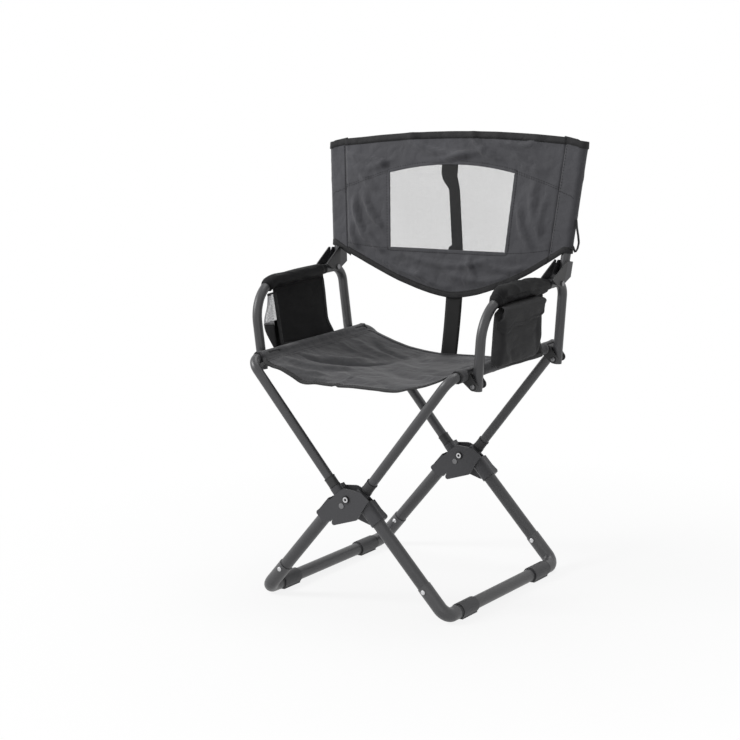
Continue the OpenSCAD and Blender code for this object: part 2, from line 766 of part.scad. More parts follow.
// Back fabric: a sheet in front of the uprights with a sleeve down each of them
module back_panel() {
    color([0.27, 0.27, 0.29]) {
        back_mid() translate([0, back_offset, 0]) prism_y(back_cloth_y, back_cloth_y + cloth_t)
            difference() {
                polygon(concat(back_edge(back_low, -back_belly, 1.6),
                    reversed(back_edge(back_top, back_crown, 2))));
                polygon(window_outline(0));
            }
        for (side = [-1, 1]) back_plane(side) translate([0, back_offset, back_low]) difference() {
            cylinder(r = cloth_ring_r, h = upright_end - back_low);
            translate([0, 0, -EPS]) cylinder(r = cloth_ring_r - cloth_t, h = upright_end);
        }
    }
}

module back_window() {
    color([0.75, 0.75, 0.76, 0.6]) back_mid() translate([0, back_offset, 0])
        prism_y(back_cloth_y, back_cloth_y + cloth_t / 2) polygon(window_outline(cloth_gap));
}

// Webbing strap down the middle of the back, behind the fabric
module back_strap() {
    color([0.08, 0.08, 0.09]) back_mid() translate([-strap_w / 2, strap_y, back_low - back_belly])
        cube([strap_w, strap_t, back_top - back_low + back_belly]);
}

// Lower end of the webbing strap, from the back down to the rear edge of the seat
module seat_strap() {
    drop = back_belly - back_low;
    top_y = hinge_y + strap_y * cos(mid_lean) - drop * sin(mid_lean);
    top_z = arm_pin_z + arm_rise * cos(splay) - drop * cos(mid_lean)
        - (strap_y + strap_t) * sin(mid_lean) - cloth_gap;
    low_z = seat_h - seat_sag * (1 - pow(strap_w / 2 / seat_inner, 2)) + cloth_t + cloth_gap;
    low_y = y_rear - seat_rim - strap_t;
    color([0.08, 0.08, 0.09]) prism_x(-strap_w / 2, strap_w / 2) polygon([
        [low_y, low_z], [low_y + strap_t, low_z], [top_y + strap_t, top_z], [top_y, top_z]
    ]);
}

module side_tag() {
    color([0.06, 0.06, 0.06]) back_plane(1)
        translate([cloth_ring_r + cloth_gap, back_offset - tube_d / 2, tag_at]) cube([strap_t * 2, tube_d * 0.8, tag_len]);
}

// ---- seat ----------------------------------------------------------------------------------

// Centre line of the sagging seat between the sleeves of its rails
function seat_line(half) = [
    for (i = [-SEAT_STEPS : SEAT_STEPS])
        let (u = i / SEAT_STEPS) [u * half, seat_h - seat_sag * (1 - pow(u * half / seat_inner, 2))]
];

module seat_sheet(half, from, to) {
    line = seat_line(half);
    prism_y(from, to) polygon(concat(line, [for (p = reversed(line)) p + [0, cloth_t]]));
}

module seat_sling() {
    sleeve_front = y_front + seat_bend_r - 2;
    color([0.3, 0.3, 0.31]) difference() {
        union() {
            seat_sheet(seat_inner, sleeve_front, -sleeve_front);
            seat_sheet(seat_inner - seat_corner, y_front + seat_rim, y_rear - seat_rim);
            for (side = [-1, 1]) translate([side * seat_span / 2, 0, seat_h])
                bar_y(sleeve_front, -sleeve_front, 2 * cloth_ring_r);
        }
        for (side = [-1, 1]) translate([side * seat_span / 2, 0, seat_h]) {
            bar_y(y_front, y_rear, 2 * (cloth_ring_r - cloth_t));
            for (y = [post_front_y, post_rear_y])
                mirror([side < 0 ? 1 : 0, 0, 0])
                    translate([-tube_d / 2 + clevis_wall / 2, y - bracket_out - cloth_gap, -2 * tube_d])
                        cube([
                            2 * tube_d, 2 * (bracket_out + cloth_gap),
                            2 * tube_d + cloth_ring_r - cloth_t
                        ]);
        }
    }
}

// ---- nodes ---------------------------------------------------------------------------------

seat_tube(-1);  // seat_tube_left
seat_tube(1);  // seat_tube_right
leg_tube(-1, -1);  // leg_front_left
leg_tube(-1, 1);  // leg_rear_left
leg_tube(1, -1);  // leg_front_right
leg_tube(1, 1);  // leg_rear_right
floor_rail(-1);  // floor_rail_left
floor_rail(1);  // floor_rail_right
elbow(-1, -1);  // elbow_front_left
elbow(-1, 1);  // elbow_rear_left
elbow(1, -1);  // elbow_front_right
elbow(1, 1);  // elbow_rear_right
rail_rings(-1);  // rail_rings_left
rail_rings(1);  // rail_rings_right
foot_pads(-1);  // foot_pads_left
foot_pads(1);  // foot_pads_right
leg_rivets(-1);  // leg_rivets_left
leg_rivets(1);  // leg_rivets_right
hub_bracket(-1, false);  // hub_bracket_front_a
hub_bracket(1, false);  // hub_bracket_rear_a
hub_bracket(-1, true);  // hub_bracket_front_b
hub_bracket(1, true);  // hub_bracket_rear_b
main_pivot(-1);  // main_pivot_front
main_pivot(1);  // main_pivot_rear
stop_pins(false);  // stop_pins_a
stop_pins(true);  // stop_pins_b
tube_collars(true);  // tube_collars_left
tube_collars(false);  // tube_collars_right
arm_brackets(-1);  // arm_brackets_left
arm_brackets(1);  // arm_brackets_right
arm_pins(-1);  // arm_pins_left
arm_pins(1);  // arm_pins_right
arm_bushes(-1);  // arm_bushes_left
arm_bushes(1);  // arm_bushes_right
arm_tube(-1);  // arm_tube_left
arm_tube(1);  // arm_tube_right
arm_sleeve(-1);  // arm_sleeve_left
arm_sleeve(1);  // arm_sleeve_right
arm_panel(-1);  // arm_panel_left
arm_panel(1);  // arm_panel_right
net_pocket_left();
side_pocket_right();
pocket_flap_right();
hinge_pin(-1);  // hinge_pin_left
hinge_pin(1);  // hinge_pin_right
back_bracket(-1);  // back_bracket_left
back_bracket(1);  // back_bracket_right
hinge_plates(-1);  // hinge_plates_left
hinge_plates(1);  // hinge_plates_right
upright(-1);  // upright_left
upright(1);  // upright_right
upright_cap(-1);  // upright_cap_left
upright_cap(1);  // upright_cap_right
seat_sling();
back_panel();
back_window();
back_strap();
seat_strap();
side_tag();
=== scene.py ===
"""Folding camp chair: soft goods, finishes, light and camera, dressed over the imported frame."""

import logging
import math
from dataclasses import dataclass, field, replace
from enum import Enum
from typing import Callable, Optional, Sequence, Union

import bpy
from mathutils import Matrix, Vector, noise


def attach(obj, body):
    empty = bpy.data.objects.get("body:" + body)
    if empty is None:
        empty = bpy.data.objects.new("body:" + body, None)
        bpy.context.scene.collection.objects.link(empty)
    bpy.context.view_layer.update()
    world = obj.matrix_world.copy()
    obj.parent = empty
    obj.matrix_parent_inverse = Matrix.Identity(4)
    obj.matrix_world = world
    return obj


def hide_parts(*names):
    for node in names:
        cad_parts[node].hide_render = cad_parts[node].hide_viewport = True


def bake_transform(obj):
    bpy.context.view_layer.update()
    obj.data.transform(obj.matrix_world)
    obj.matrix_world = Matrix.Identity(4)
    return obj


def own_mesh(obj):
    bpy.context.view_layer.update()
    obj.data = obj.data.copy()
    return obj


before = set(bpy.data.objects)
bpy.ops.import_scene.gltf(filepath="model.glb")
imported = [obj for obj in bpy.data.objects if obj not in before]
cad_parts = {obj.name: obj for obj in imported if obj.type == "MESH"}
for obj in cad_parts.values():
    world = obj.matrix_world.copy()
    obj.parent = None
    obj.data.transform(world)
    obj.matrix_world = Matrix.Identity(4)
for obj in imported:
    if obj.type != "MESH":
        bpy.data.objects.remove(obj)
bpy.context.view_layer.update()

log = logging.getLogger("camp_chair")
MM = 0.001
Colour = tuple[float, float, float]
OFF_RAIL = 999.0
SQUARE = ((-1, -1), (1, -1), (1, 1), (-1, 1))


class Side(Enum):
    """Side of the chair, as the sign of its X."""

    LEFT = -1
    RIGHT = 1

    @property
    def word(self) -> str:
        """The word that the frame's node names use for this side."""
        return "left" if self is Side.LEFT else "right"


class Weave(Enum):
    """Thread patterns of the fabrics."""

    PLAIN = "plain"
    TWILL = "twill"
    RIBBED = "ribbed"


class Tone(Enum):
    """Broad kinds of hard surface."""

    POWDER = "powder"
    STEEL = "steel"
    PLASTIC = "plastic"


# ---- finishes -------------------------------------------------------------------------------


class NodeTree:
    """Short hand for laying out a tree of shader nodes."""

    def __init__(self, tree: bpy.types.NodeTree) -> None:
        """Takes the tree to lay nodes in."""
        self.nodes, self.links = tree.nodes, tree.links

    def add(self, kind: str, **settings: object) -> bpy.types.Node:
        """Adds a node.

        Args:
            kind: the node type, without its ShaderNode prefix.
            settings: attributes of the node, or numbers for its named inputs.

        Returns:
            The new node.
        """
        node = self.nodes.new("ShaderNode" + kind)
        for key, value in settings.items():
            if hasattr(node, key):
                setattr(node, key, value)
            else:
                node.inputs[key.replace("_", " ")].default_value = value
        return node

    def join(self, source: bpy.types.NodeSocket, target: bpy.types.NodeSocket) -> None:
        """Links two sockets."""
        self.links.new(source, target)

    def sum(self, operation: str, first: object, second: object) -> bpy.types.NodeSocket:
        """Adds a math node.

        Args:
            operation: its name.
            first: a socket or a number.
            second: a socket or a number.

        Returns:
            The result.
        """
        node = self.add("Math", operation=operation)
        for slot, value in zip(node.inputs, (first, second)):
            if isinstance(value, bpy.types.NodeSocket):
                self.join(value, slot)
            else:
                slot.default_value = value
        return node.outputs[0]

    def either(self, path: bpy.types.Node, *kinds: str) -> bpy.types.NodeSocket:
        """Adds the test whether a ray is of one of some kinds.

        Args:
            path: the Light Path node.
            kinds: the kinds of ray, as words of its outputs.

        Returns:
            1 for such a ray, or else 0.
        """
        found = path.outputs[f"Is {kinds[0]} Ray"]
        for kind in kinds[1:]:
            found = self.sum("MAXIMUM", found, path.outputs[f"Is {kind} Ray"])
        return found

    def mix(self, share: bpy.types.NodeSocket, first: bpy.types.NodeSocket,
            second: bpy.types.NodeSocket) -> bpy.types.NodeSocket:
        """Adds a mix of two shaders.

        Args:
            share: how much of the second there is.
            first: a shader.
            second: a shader.

        Returns:
            The mixed shader.
        """
        node = self.add("MixShader")
        for slot, source in zip(node.inputs, (share, first, second)):
            self.join(source, slot)
        return node.outputs[0]


class MaterialTree(NodeTree):
    """The nodes of one material, round its main shader."""

    def __init__(self, name: str) -> None:
        """Starts a material with a shader and an output.

        Args:
            name: the material's name.
        """
        self.material = bpy.data.materials.new(name)
        self.material.use_nodes = True
        super().__init__(self.material.node_tree)
        self.shader = self.nodes["Principled BSDF"]

    def wear(self, **settings: object) -> None:
        """Sets values or links on the shader's own sockets, by their names with _ for each space.

        Args:
            settings: a number, a colour or a socket for each.
        """
        for key, value in settings.items():
            slot = self.shader.inputs[key.replace("_", " ")]
            if isinstance(value, bpy.types.NodeSocket):
                self.join(value, slot)
            else:
                slot.default_value = value

    def noise(self, place: bpy.types.NodeSocket, scale: float, detail: float) -> bpy.types.NodeSocket:
        """Adds a noise texture.

        Args:
            place: the coordinates to read it at.
            scale: how many features there are in a metre.
            detail: the octaves.

        Returns:
            Its value, from 0 to 1.
        """
        texture = self.add("TexNoise", Scale=scale, Detail=detail)
        self.join(place, texture.inputs["Vector"])
        return texture.outputs["Fac"]

    def vector(self, operation: str, place: bpy.types.NodeSocket,
               by: tuple[float, float, float] = (0, 0, 0)) -> bpy.types.NodeSocket:
        """Adds a vector math node.

        Args:
            operation: its name.
            place: the first vector.
            by: the second vector.

        Returns:
            The vector, or for LENGTH the number.
        """
        node = self.add("VectorMath", operation=operation)
        self.join(place, node.inputs[0])
        node.inputs[1].default_value = by
        return node.outputs["Value" if operation == "LENGTH" else "Vector"]

    def ramp(self, share: bpy.types.NodeSocket, *stops: tuple[float, Colour]) -> bpy.types.NodeSocket:
        """Adds a ramp of colours.

        Args:
            share: where on the ramp, from 0 to 1.
            stops: the places and colours of the ramp, from its start.

        Returns:
            The colour.
        """
        node = self.add("ValToRGB")
        elements = node.color_ramp.elements
        elements[0].position, elements[1].position = stops[0][0], stops[-1][0]
        for spot, _ in stops[1:-1]:
            elements.new(spot)
        for element, (_, colour) in zip(elements, stops):
            element.color = (*colour, 1)
        self.join(share, node.inputs["Fac"])
        return node.outputs["Color"]

    def blend(self, share: bpy.types.NodeSocket, low: Colour, high: Colour) -> bpy.types.NodeSocket:
        """Adds a soft ramp between two colours."""
        return self.ramp(share, (0.3, low), (0.7, high))

    def multiply(self, base: bpy.types.NodeSocket, factor: bpy.types.NodeSocket,
                 share: float) -> bpy.types.NodeSocket:
        """Multiplies one colour by another.

        Args:
            base: the colour to darken or lighten.
            factor: the colour to multiply by.
            share: how much of the effect is kept.

        Returns:
            The new colour.
        """
        mix = self.add("Mix", data_type="RGBA", blend_type="MULTIPLY")
        mix.inputs[0].default_value = share
        self.join(base, mix.inputs[6])
        self.join(factor, mix.inputs[7])
        return mix.outputs[2]

    def relief(self, height: bpy.types.NodeSocket, depth: float, strength: float) -> None:
        """Adds a height to the shader's normal, over the relief that is there already.

        Args:
            height: the height, from 0 to 1.
            depth: what a height of 1 stands for, in metres.
            strength: how strongly it shows.
        """
        bump = self.add("Bump", Strength=strength, Distance=depth)
        self.join(height, bump.inputs["Height"])
        for link in self.shader.inputs["Normal"].links:
            self.join(link.from_socket, bump.inputs["Normal"])
        self.join(bump.outputs["Normal"], self.shader.inputs["Normal"])


def shade(colour: Colour, factor: float) -> Colour:
    """A colour made darker or lighter."""
    return tuple(min(1.0, c * factor) for c in colour)


def grey(tone: float, cool: float = 0.0) -> Colour:
    """A grey, with a little more blue if it is cool."""
    return tone, tone, tone + cool


@dataclass(frozen=True)
class Finish:
    """What every finish has: its name, the material slot that it stands for, and its colour."""

    name: str
    slot: str
    colour: Colour

    def lay(self, tree: MaterialTree) -> None:
        """Lays the finish's nodes."""
        raise NotImplementedError

    def material(self) -> bpy.types.Material:
        """Finds the finish's material, and makes it when it is first asked for.

        Returns:
            The material.
        """
        if self.name not in bpy.data.materials:
            self.lay(MaterialTree(self.name))
        return bpy.data.materials[self.name]


@dataclass(frozen=True)
class ClothFinish(Finish):
    """A woven cloth with its thread pattern, slight fading and creases."""

    weave: Weave = Weave.PLAIN
    pitch: float = 1.1
    depth: float = 0.25
    roughness: float = 0.78
    sheen: float = 0.2
    gloss: float = 0.4
    patchy: float = 0.12
    patches: float = 14.0
    flecks: float = 420.0
    crinkle: float = 0.7
    creases: tuple[float, float] = (22.0, 60.0)
    crease_depth: float = 0.012
    stretch: tuple[float, float, float] = (1.0, 1.0, 1.0)

    def threads(self, tree: MaterialTree, place: bpy.types.NodeSocket) -> bpy.types.NodeSocket:
        """The height of the weave.

        Args:
            tree: the finish's nodes.
            place: the place on the cloth, in metres.

        Returns:
            The height, from 0 to 1.
        """
        waves = []
        pattern = [("X", 0.314, 0.6, 1.0), ("Y", 0.314, 0.6, 1.0)]
        if self.weave is Weave.TWILL:
            pattern.append(("DIAGONAL", 0.2, 0.4, 2.0))
        for direction, scale, distortion, detail in pattern:
            wave = tree.add("TexWave", wave_type="BANDS", bands_direction=direction,
                            Scale=scale / (self.pitch * MM), Distortion=distortion, Detail=detail)
            tree.join(place, wave.inputs["Vector"])
            waves.append(wave.outputs["Fac"])
        if self.weave is Weave.PLAIN:
            return tree.sum("MULTIPLY", waves[0], waves[1])
        share = 0.6 if self.weave is Weave.TWILL else 0.65
        first, last = tree.sum("MULTIPLY", waves[0], 1 - share), tree.sum("MULTIPLY", waves[-1], share)
        return tree.sum("ADD", first, last)

    def lay(self, tree: MaterialTree) -> None:
        """Lays the nodes for the weave, the flecks, the fading and the creases.

        Args:
            tree: the finish's nodes.
        """
        height = self.threads(tree, tree.add("TexCoord").outputs["UV"])
        place = tree.add("TexCoord").outputs["Object"]
        cloud = tree.noise(place, self.patches, 4.0)
        fleck = tree.noise(place, self.flecks, 2.0)
        base = tree.blend(cloud, shade(self.colour, 1 - self.patchy), shade(self.colour, 1 + self.patchy))
        weft = tree.blend(height, grey(0.74, 0.01), grey(1))
        specks = tree.blend(fleck, grey(0.84, 0.01), grey(1))
        tree.wear(
            Base_Color=tree.multiply(tree.multiply(base, weft, 0.8), specks, 0.6),
            Roughness=tree.sum("ADD", tree.sum("MULTIPLY", cloud, 0.12), self.roughness - 0.06),
            Sheen_Weight=self.sheen, Sheen_Roughness=0.5, Specular_IOR_Level=self.gloss,
        )
        along = tree.vector("MULTIPLY", place, self.stretch)
        wide, narrow = (tree.noise(along, scale, 2.0) for scale in self.creases)
        fold = tree.sum("ABSOLUTE", tree.sum("SUBTRACT", wide, 0.5), 0.0)
        fine = tree.sum("MULTIPLY", narrow, 0.12)
        tree.relief(tree.sum("ADD", fold, fine), self.crease_depth, self.crinkle)
        tree.relief(height, self.depth * MM, 0.5)


@dataclass(frozen=True)
class HardFinish(Finish):
    """A hard surface: powder coat, plated steel or moulded plastic, with fine grain, rubbed spots and, on a
    bolt head, a painted highlight ring with painted shade.
    """

    tone: Tone
    roughness: float
    grain: float = 900.0
    grain_depth: float = 0.05
    patches: float = 18.0
    spots: float = 55.0
    rubbed: float = 1.5
    # where a bolt head's painted highlight ring and painted shade are centred, across and up, or none
    head: Optional[tuple[float, float]] = None

    def lay(self, tree: MaterialTree) -> None:
        """Lays the nodes for the grain, the rubbed spots, a bolt head's painted highlight and shade, and the
        coat.

        Args:
            tree: the finish's nodes.
        """
        place = tree.add("TexCoord").outputs["Object"]
        cloud = tree.noise(place, self.patches, 4.0)
        grain = tree.noise(place, self.grain, 2.0)
        spots = tree.ramp(tree.noise(place, self.spots, 8.0), (0.64, grey(1)), (0.74, grey(self.rubbed)))
        base = tree.blend(cloud, shade(self.colour, 0.9), shade(self.colour, 1.1))
        fine = tree.blend(grain, grey(0.88), grey(1))
        colour = tree.multiply(tree.multiply(base, fine, 1.0), spots, 1.0)
        # a bolt head gets a painted highlight ring, with painted shade in its socket and on its rim
        if self.head is not None:
            colour = tree.multiply(colour, self.bolt_rings(tree, place), 1.0)
        tree.wear(Base_Color=colour,
                  Roughness=tree.sum("ADD", tree.sum("MULTIPLY", cloud, 0.16), self.roughness - 0.08))
        if self.tone is Tone.STEEL:
            tree.wear(Metallic=1.0)
        elif self.tone is Tone.POWDER:
            tree.wear(Coat_Weight=0.3, Coat_Roughness=0.42)
        tree.relief(grain, self.grain_depth * MM, 0.35)

    def bolt_rings(self, tree: MaterialTree, place: bpy.types.NodeSocket) -> bpy.types.NodeSocket:
        """A bolt head's painted light: painted shade in its socket, a painted highlight ring round it and
        painted shade on its rim.

        Args:
            tree: the finish's nodes.
            place: the place on the bolt, whose middle line runs front to back.

        Returns:
            The painted highlight and shade, as a factor for the colour.
        """
        across, up = self.head
        away = tree.vector("MULTIPLY", tree.vector("SUBTRACT", place, (across, 0.0, up)), (1.0, 0.0, 1.0))
        radius = tree.sum("MULTIPLY", tree.vector("LENGTH", away), 100.0)
        # painted shade in the socket, a painted highlight ring, painted shade on the rim
        socket, ring, rim = grey(0.05), grey(1), grey(0.08)
        return tree.ramp(radius, (0.0, socket), (0.22, socket), (0.3, ring), (0.5, ring), (0.58, rim))


TUBE_PAINT = HardFinish("tube_paint", "frame_paint", grey(0.038, 0.003), Tone.POWDER, 0.44)
BRACKET_PAINT = HardFinish("bracket_paint", "bracket_paint", grey(0.03, 0.003), Tone.POWDER, 0.42,
                           grain=700.0)
ELBOW_PAINT = HardFinish("elbow_paint", "bracket_paint", grey(0.055, 0.003), Tone.POWDER, 0.42, grain=800.0)
ZINC = HardFinish("zinc_plate", "rivet_metal", grey(0.62, 0.01), Tone.STEEL, 0.3, grain=1500.0, rubbed=1.15)
# the main pivot: zinc with a painted highlight ring and painted shade on its head
HUB_BOLT = replace(ZINC, name="hub_bolt", head=(0.0, 0.222))
PIN_STEEL = HardFinish("pin_steel", "rivet_metal", grey(0.2, 0.005), Tone.STEEL, 0.4, grain=1500.0,
                       rubbed=1.3)
BLACK_NYLON = HardFinish("black_nylon", "black_plastic", grey(0.018, 0.001), Tone.PLASTIC, 0.5, grain=1200.0)
FOOT_NYLON = HardFinish("foot_nylon", "foot_plastic", grey(0.05, 0.003), Tone.PLASTIC, 0.55, grain=1100.0)
SEAT_CLOTH = ClothFinish("seat_cloth", "seat_fabric", grey(0.05, 0.004), pitch=0.8)
BACK_CLOTH = ClothFinish("back_cloth", "seat_fabric", grey(0.072, 0.008), pitch=0.8)
POCKET_CLOTH = ClothFinish("pocket_cloth", "pocket_fabric", grey(0.011, 0.001), pitch=0.8, sheen=0.04,
                           stretch=(1.0, 0.4, 1.0))
PANEL_CLOTH = replace(POCKET_CLOTH, name="panel_cloth", colour=grey(0.004, 0.0005), sheen=0.0, gloss=0.2)
SLEEVE_CLOTH = replace(POCKET_CLOTH, name="sleeve_cloth", colour=grey(0.0055, 0.0007), sheen=0.02, gloss=0.15,
                       roughness=0.6)
BINDING = ClothFinish("binding_tape", "webbing", grey(0.013, 0.001), Weave.RIBBED, 1.3, 0.3, sheen=0.04)
WEBBING = ClothFinish("webbing", "webbing", grey(0.036, 0.003), Weave.TWILL, 1.6, 0.45)
NET_THREAD = ClothFinish("net_thread", "net_fabric", grey(0.42, 0.01), pitch=0.5, depth=0.05, sheen=0.1)
WINDOW_THREAD = ClothFinish("window_thread", "window_mesh", grey(0.05, 0.002), pitch=0.5, depth=0.05,
                            sheen=0.1)
SEWING_THREAD = ClothFinish("sewing_thread", "webbing", grey(0.008, 0.001), Weave.RIBBED, 0.4, 0.05,
                            sheen=0.0)


# ---- mesh making ----------------------------------------------------------------------------


@dataclass
class Draft:
    """A mesh in the making, with cloth coordinates in metres for every point."""

    points: list[Vector] = field(default_factory=list)
    faces: list[tuple[int, ...]] = field(default_factory=list)
    cloth: list[tuple[float, float]] = field(default_factory=list)

    def sheet(self, rows: Sequence[Sequence[Vector]], wrap: bool = False,
              keep: Optional[Callable[[int, int], bool]] = None) -> "Draft":
        """Adds a grid of faces.

        Args:
            rows: the rows of points, in millimetres.
            wrap: True if each row closes on itself.
            keep: tells from a row and a column whether that face is kept.

        Returns:
            The draft itself.
        """
        start, width = len(self.points), len(rows[0])
        down = 0.0
        middle = width // 2
        for i, row in enumerate(rows):
            across = 0.0
            down += (row[middle] - rows[i - 1][middle]).length if i else 0.0
            for j, point in enumerate(row):
                across += (point - row[j - 1]).length if j else 0.0
                self.points.append(point * MM)
                self.cloth.append((across * MM, down * MM))
        for i in range(len(rows) - 1):
            for j in range(width if wrap else width - 1):
                if keep is None or keep(i, j):
                    a, b = start + i * width + j, start + i * width + (j + 1) % width
                    self.faces.append((a, b, b + width, a + width))
        return self

    def tube(self, path: Sequence[Vector], section: Callable[[int], Sequence[tuple[float, float]]],
             up: Vector, closed: bool = True) -> "Draft":
        """Sweeps a closed outline along a path.

        Args:
            path: the points of the path, in millimetres.
            section: gives the outline at a point of the path, as places across and up, in millimetres.
            up: the direction that the outline's second value points in.
            closed: True if the ends are covered.

        Returns:
            The draft itself.
        """
        rows = []
        for i, point in enumerate(path):
            along = (path[min(i + 1, len(path) - 1)] - path[max(i - 1, 0)]).normalized()
            across = along.cross(up).normalized()
            lift = across.cross(along)
            rows.append([point + across * x + lift * y for x, y in section(i)])
        start, width = len(self.points), len(rows[0])
        self.sheet(rows, wrap=True)
        if closed:
            self.faces.append(tuple(start + j for j in reversed(range(width))))
            self.faces.append(tuple(start + (len(rows) - 1) * width + j for j in range(width)))
        return self

    def bar(self, rings: Sequence[Sequence[Vector]], capped: bool = False) -> None:
        """Adds a thin four-sided bar, which has no weave of its own.

        Args:
            rings: the four corners at each place along it, in millimetres.
            capped: True if its ends are covered.
        """
        base, last = len(self.points), len(self.points) + 4 * (len(rings) - 1)
        for point in (p for ring in rings for p in ring):
            self.points.append(point * MM)
            self.cloth.append((0.0, 0.0))
        for at in range(base, last, 4):
            for j in range(4):
                k = (j + 1) % 4
                self.faces.append((at + j, at + k, at + 4 + k, at + 4 + j))
        if capped:
            self.faces += [(base + 3, base + 2, base + 1, base), (last, last + 1, last + 2, last + 3)]

    def piece(self, name: str, finish: ClothFinish, thick: float = 0.0, smooth: int = 0) -> bpy.types.Object:
        """Makes the object.

        Args:
            name: its name.
            finish: its material.
            thick: the thickness given to a sheet, in millimetres.
            smooth: levels of subdivision.

        Returns:
            The object, with its modifiers already taken into the mesh.
        """
        mesh = bpy.data.meshes.new(name)
        mesh.from_pydata([tuple(p) for p in self.points], [], self.faces)
        layer = mesh.uv_layers.new(name="cloth")
        for loop in mesh.loops:
            layer.data[loop.index].uv = self.cloth[loop.vertex_index]
        for polygon in mesh.polygons:
            polygon.use_smooth = True
        mesh.materials.append(finish.material())
        made = bpy.data.objects.new(name, mesh)
        bpy.context.scene.collection.objects.link(made)
        if smooth:
            made.modifiers.new("round", "SUBSURF").levels = smooth
        if thick:
            skin = made.modifiers.new("skin", "SOLIDIFY")
            skin.thickness, skin.offset, skin.use_even_offset = thick * MM, 0.0, False
        if smooth or thick:
            settle(made)
        return made


def settle(made: bpy.types.Object) -> None:
    """Takes an object's modifiers into its mesh.

    Args:
        made: the object.
    """
    bpy.context.view_layer.update()
    ready = made.evaluated_get(bpy.context.evaluated_depsgraph_get())
    mesh = bpy.data.meshes.new_from_object(ready)
    made.modifiers.clear()
    made.data = mesh


@dataclass(frozen=True)
class Motion:
    """The body that a piece is parented to, or two bodies for a piece that is only baked in place. The ends,
    the fold point and the keep share are given for a bend or fold that this script doesn't make.
    """

    body: str
    to_body: str = ""
    start: tuple[float, float, float] = (0, 0, 0)
    end: tuple[float, float, float] = (0, 0, 0)
    folds_to: Optional[tuple[float, float, float]] = None
    keep: float = 0.16

    def attach(self, made: bpy.types.Object) -> bpy.types.Object:
        """Parents a piece to its body, giving it its own mesh where a fold point is given; a piece between
        two bodies only has its transform baked, and nothing is bent or folded.

        Args:
            made: the piece.

        Returns:
            The piece.
        """
        if self.to_body:
            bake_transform(made)
        else:
            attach(made, self.body)
            if self.folds_to is not None:
                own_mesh(made)
        bodies = f"{self.body} and {self.to_body}" if self.to_body else self.body
        log.info("%s moves with %s", made.name, bodies)
        return made


def spread(low: float, high: float, steps: int) -> list[float]:
    """Evenly spaced numbers from low to high, both included."""
    return [low + (high - low) * i / steps for i in range(steps + 1)]


def ease(t: float) -> float:
    """A smooth step from 0 to 1."""
    t = min(max(t, 0.0), 1.0)
    return t * t * (3 - 2 * t)


@dataclass(frozen=True)
class Ripple:
    """Smooth uneven waves of a cloth, by their size and height in millimetres and a seed."""

    size: float
    seed: float
    height: float

    def at(self, x: float, y: float, z: float = 0.0) -> float:
        """The waves' height at a place, up or down."""
        x, y, z = (along / self.size for along in Vector((x, y, z)))
        return self.height * noise.noise(Vector((x + self.seed, y, z)))


def path_length(path: Sequence[Vector]) -> float:
    """Length of a path from point to point."""
    return sum((b - a).length for a, b in zip(path, path[1:]))


@dataclass(frozen=True)
class Fold:
    """One crease of a cloth: a rounded ridge along a line, steeper on one side, or a valley below it."""

    start: tuple[float, float]
    end: tuple[float, float]
    width: float
    height: float

    def lift(self, u: float, v: float) -> float:
        """How far the crease lifts the cloth.

        Args:
            u: the place across the cloth, in millimetres.
            v: the place along it.

        Returns:
            The lift, in millimetres.
        """
        across, down = self.end[0] - self.start[0], self.end[1] - self.start[1]
        length = math.hypot(across, down)
        du, dv = u - self.start[0], v - self.start[1]
        t = (du * across + dv * down) / length ** 2
        if not -0.25 < t < 1.25:
            return 0.0
        off = (du * down - dv * across) / length - 0.07 * length * math.sin(math.pi * t)
        side = self.width * (1.0 if off > 0 else 0.5)
        return self.height * ease((t + 0.25) / 0.4) * ease((1.25 - t) / 0.4) * math.exp(-((off / side) ** 2))


def resample(path: Sequence[Vector], step: float) -> list[Vector]:
    """Finds points at even steps along a path.

    Args:
        path: the corner points.
        step: about how far apart the new points lie.

    Returns:
        The new points, both ends included.
    """
    lengths = [0.0]
    for a, b in zip(path, path[1:]):
        lengths.append(lengths[-1] + (b - a).length)
    count = max(1, round(lengths[-1] / step))
    found, k = [], 0
    for i in range(count + 1):
        at = lengths[-1] * i / count
        while k < len(path) - 2 and lengths[k + 1] < at:
            k += 1
        share = (at - lengths[k]) / max(lengths[k + 1] - lengths[k], 1e-9)
        found.append(path[k].lerp(path[k + 1], min(share, 1.0)))
    return found


@dataclass
class Sewing:
    """Runs of stitches, as short raised threads."""

    length: float = 4.4
    gap: float = 1.5
    width: float = 1.2
    draft: Draft = field(default_factory=Draft)

    def run(self, path: Sequence[Vector], normal: Vector, lift: float = 0.2) -> None:
        """Sews along a path.

        Args:
            path: the path on the cloth's middle surface, in millimetres.
            normal: the way out of the cloth.
            lift: how far the thread's middle stands above the path.
        """
        points = resample(path, (self.length + self.gap) / 2)
        half = self.width / 2
        for a, b in zip(points[::2], points[1::2]):
            along = (b - a).normalized()
            across = along.cross(normal).normalized() * half
            up = across.cross(along).normalized() * half
            if up.dot(normal) < 0:
                up = -up
            corners = ((-1, -0.5), (1, -0.5), (0.6, 0.5), (-0.6, 0.5))
            ends = (a + normal * lift, b + normal * lift)
            self.draft.bar([[end + across * x + up * y for x, y in corners] for end in ends], capped=True)

    def piece(self, name: str, motion: Motion) -> bpy.types.Object:
        """Makes the stitches an object that moves with its cloth."""
        return motion.attach(self.draft.piece(name, SEWING_THREAD))


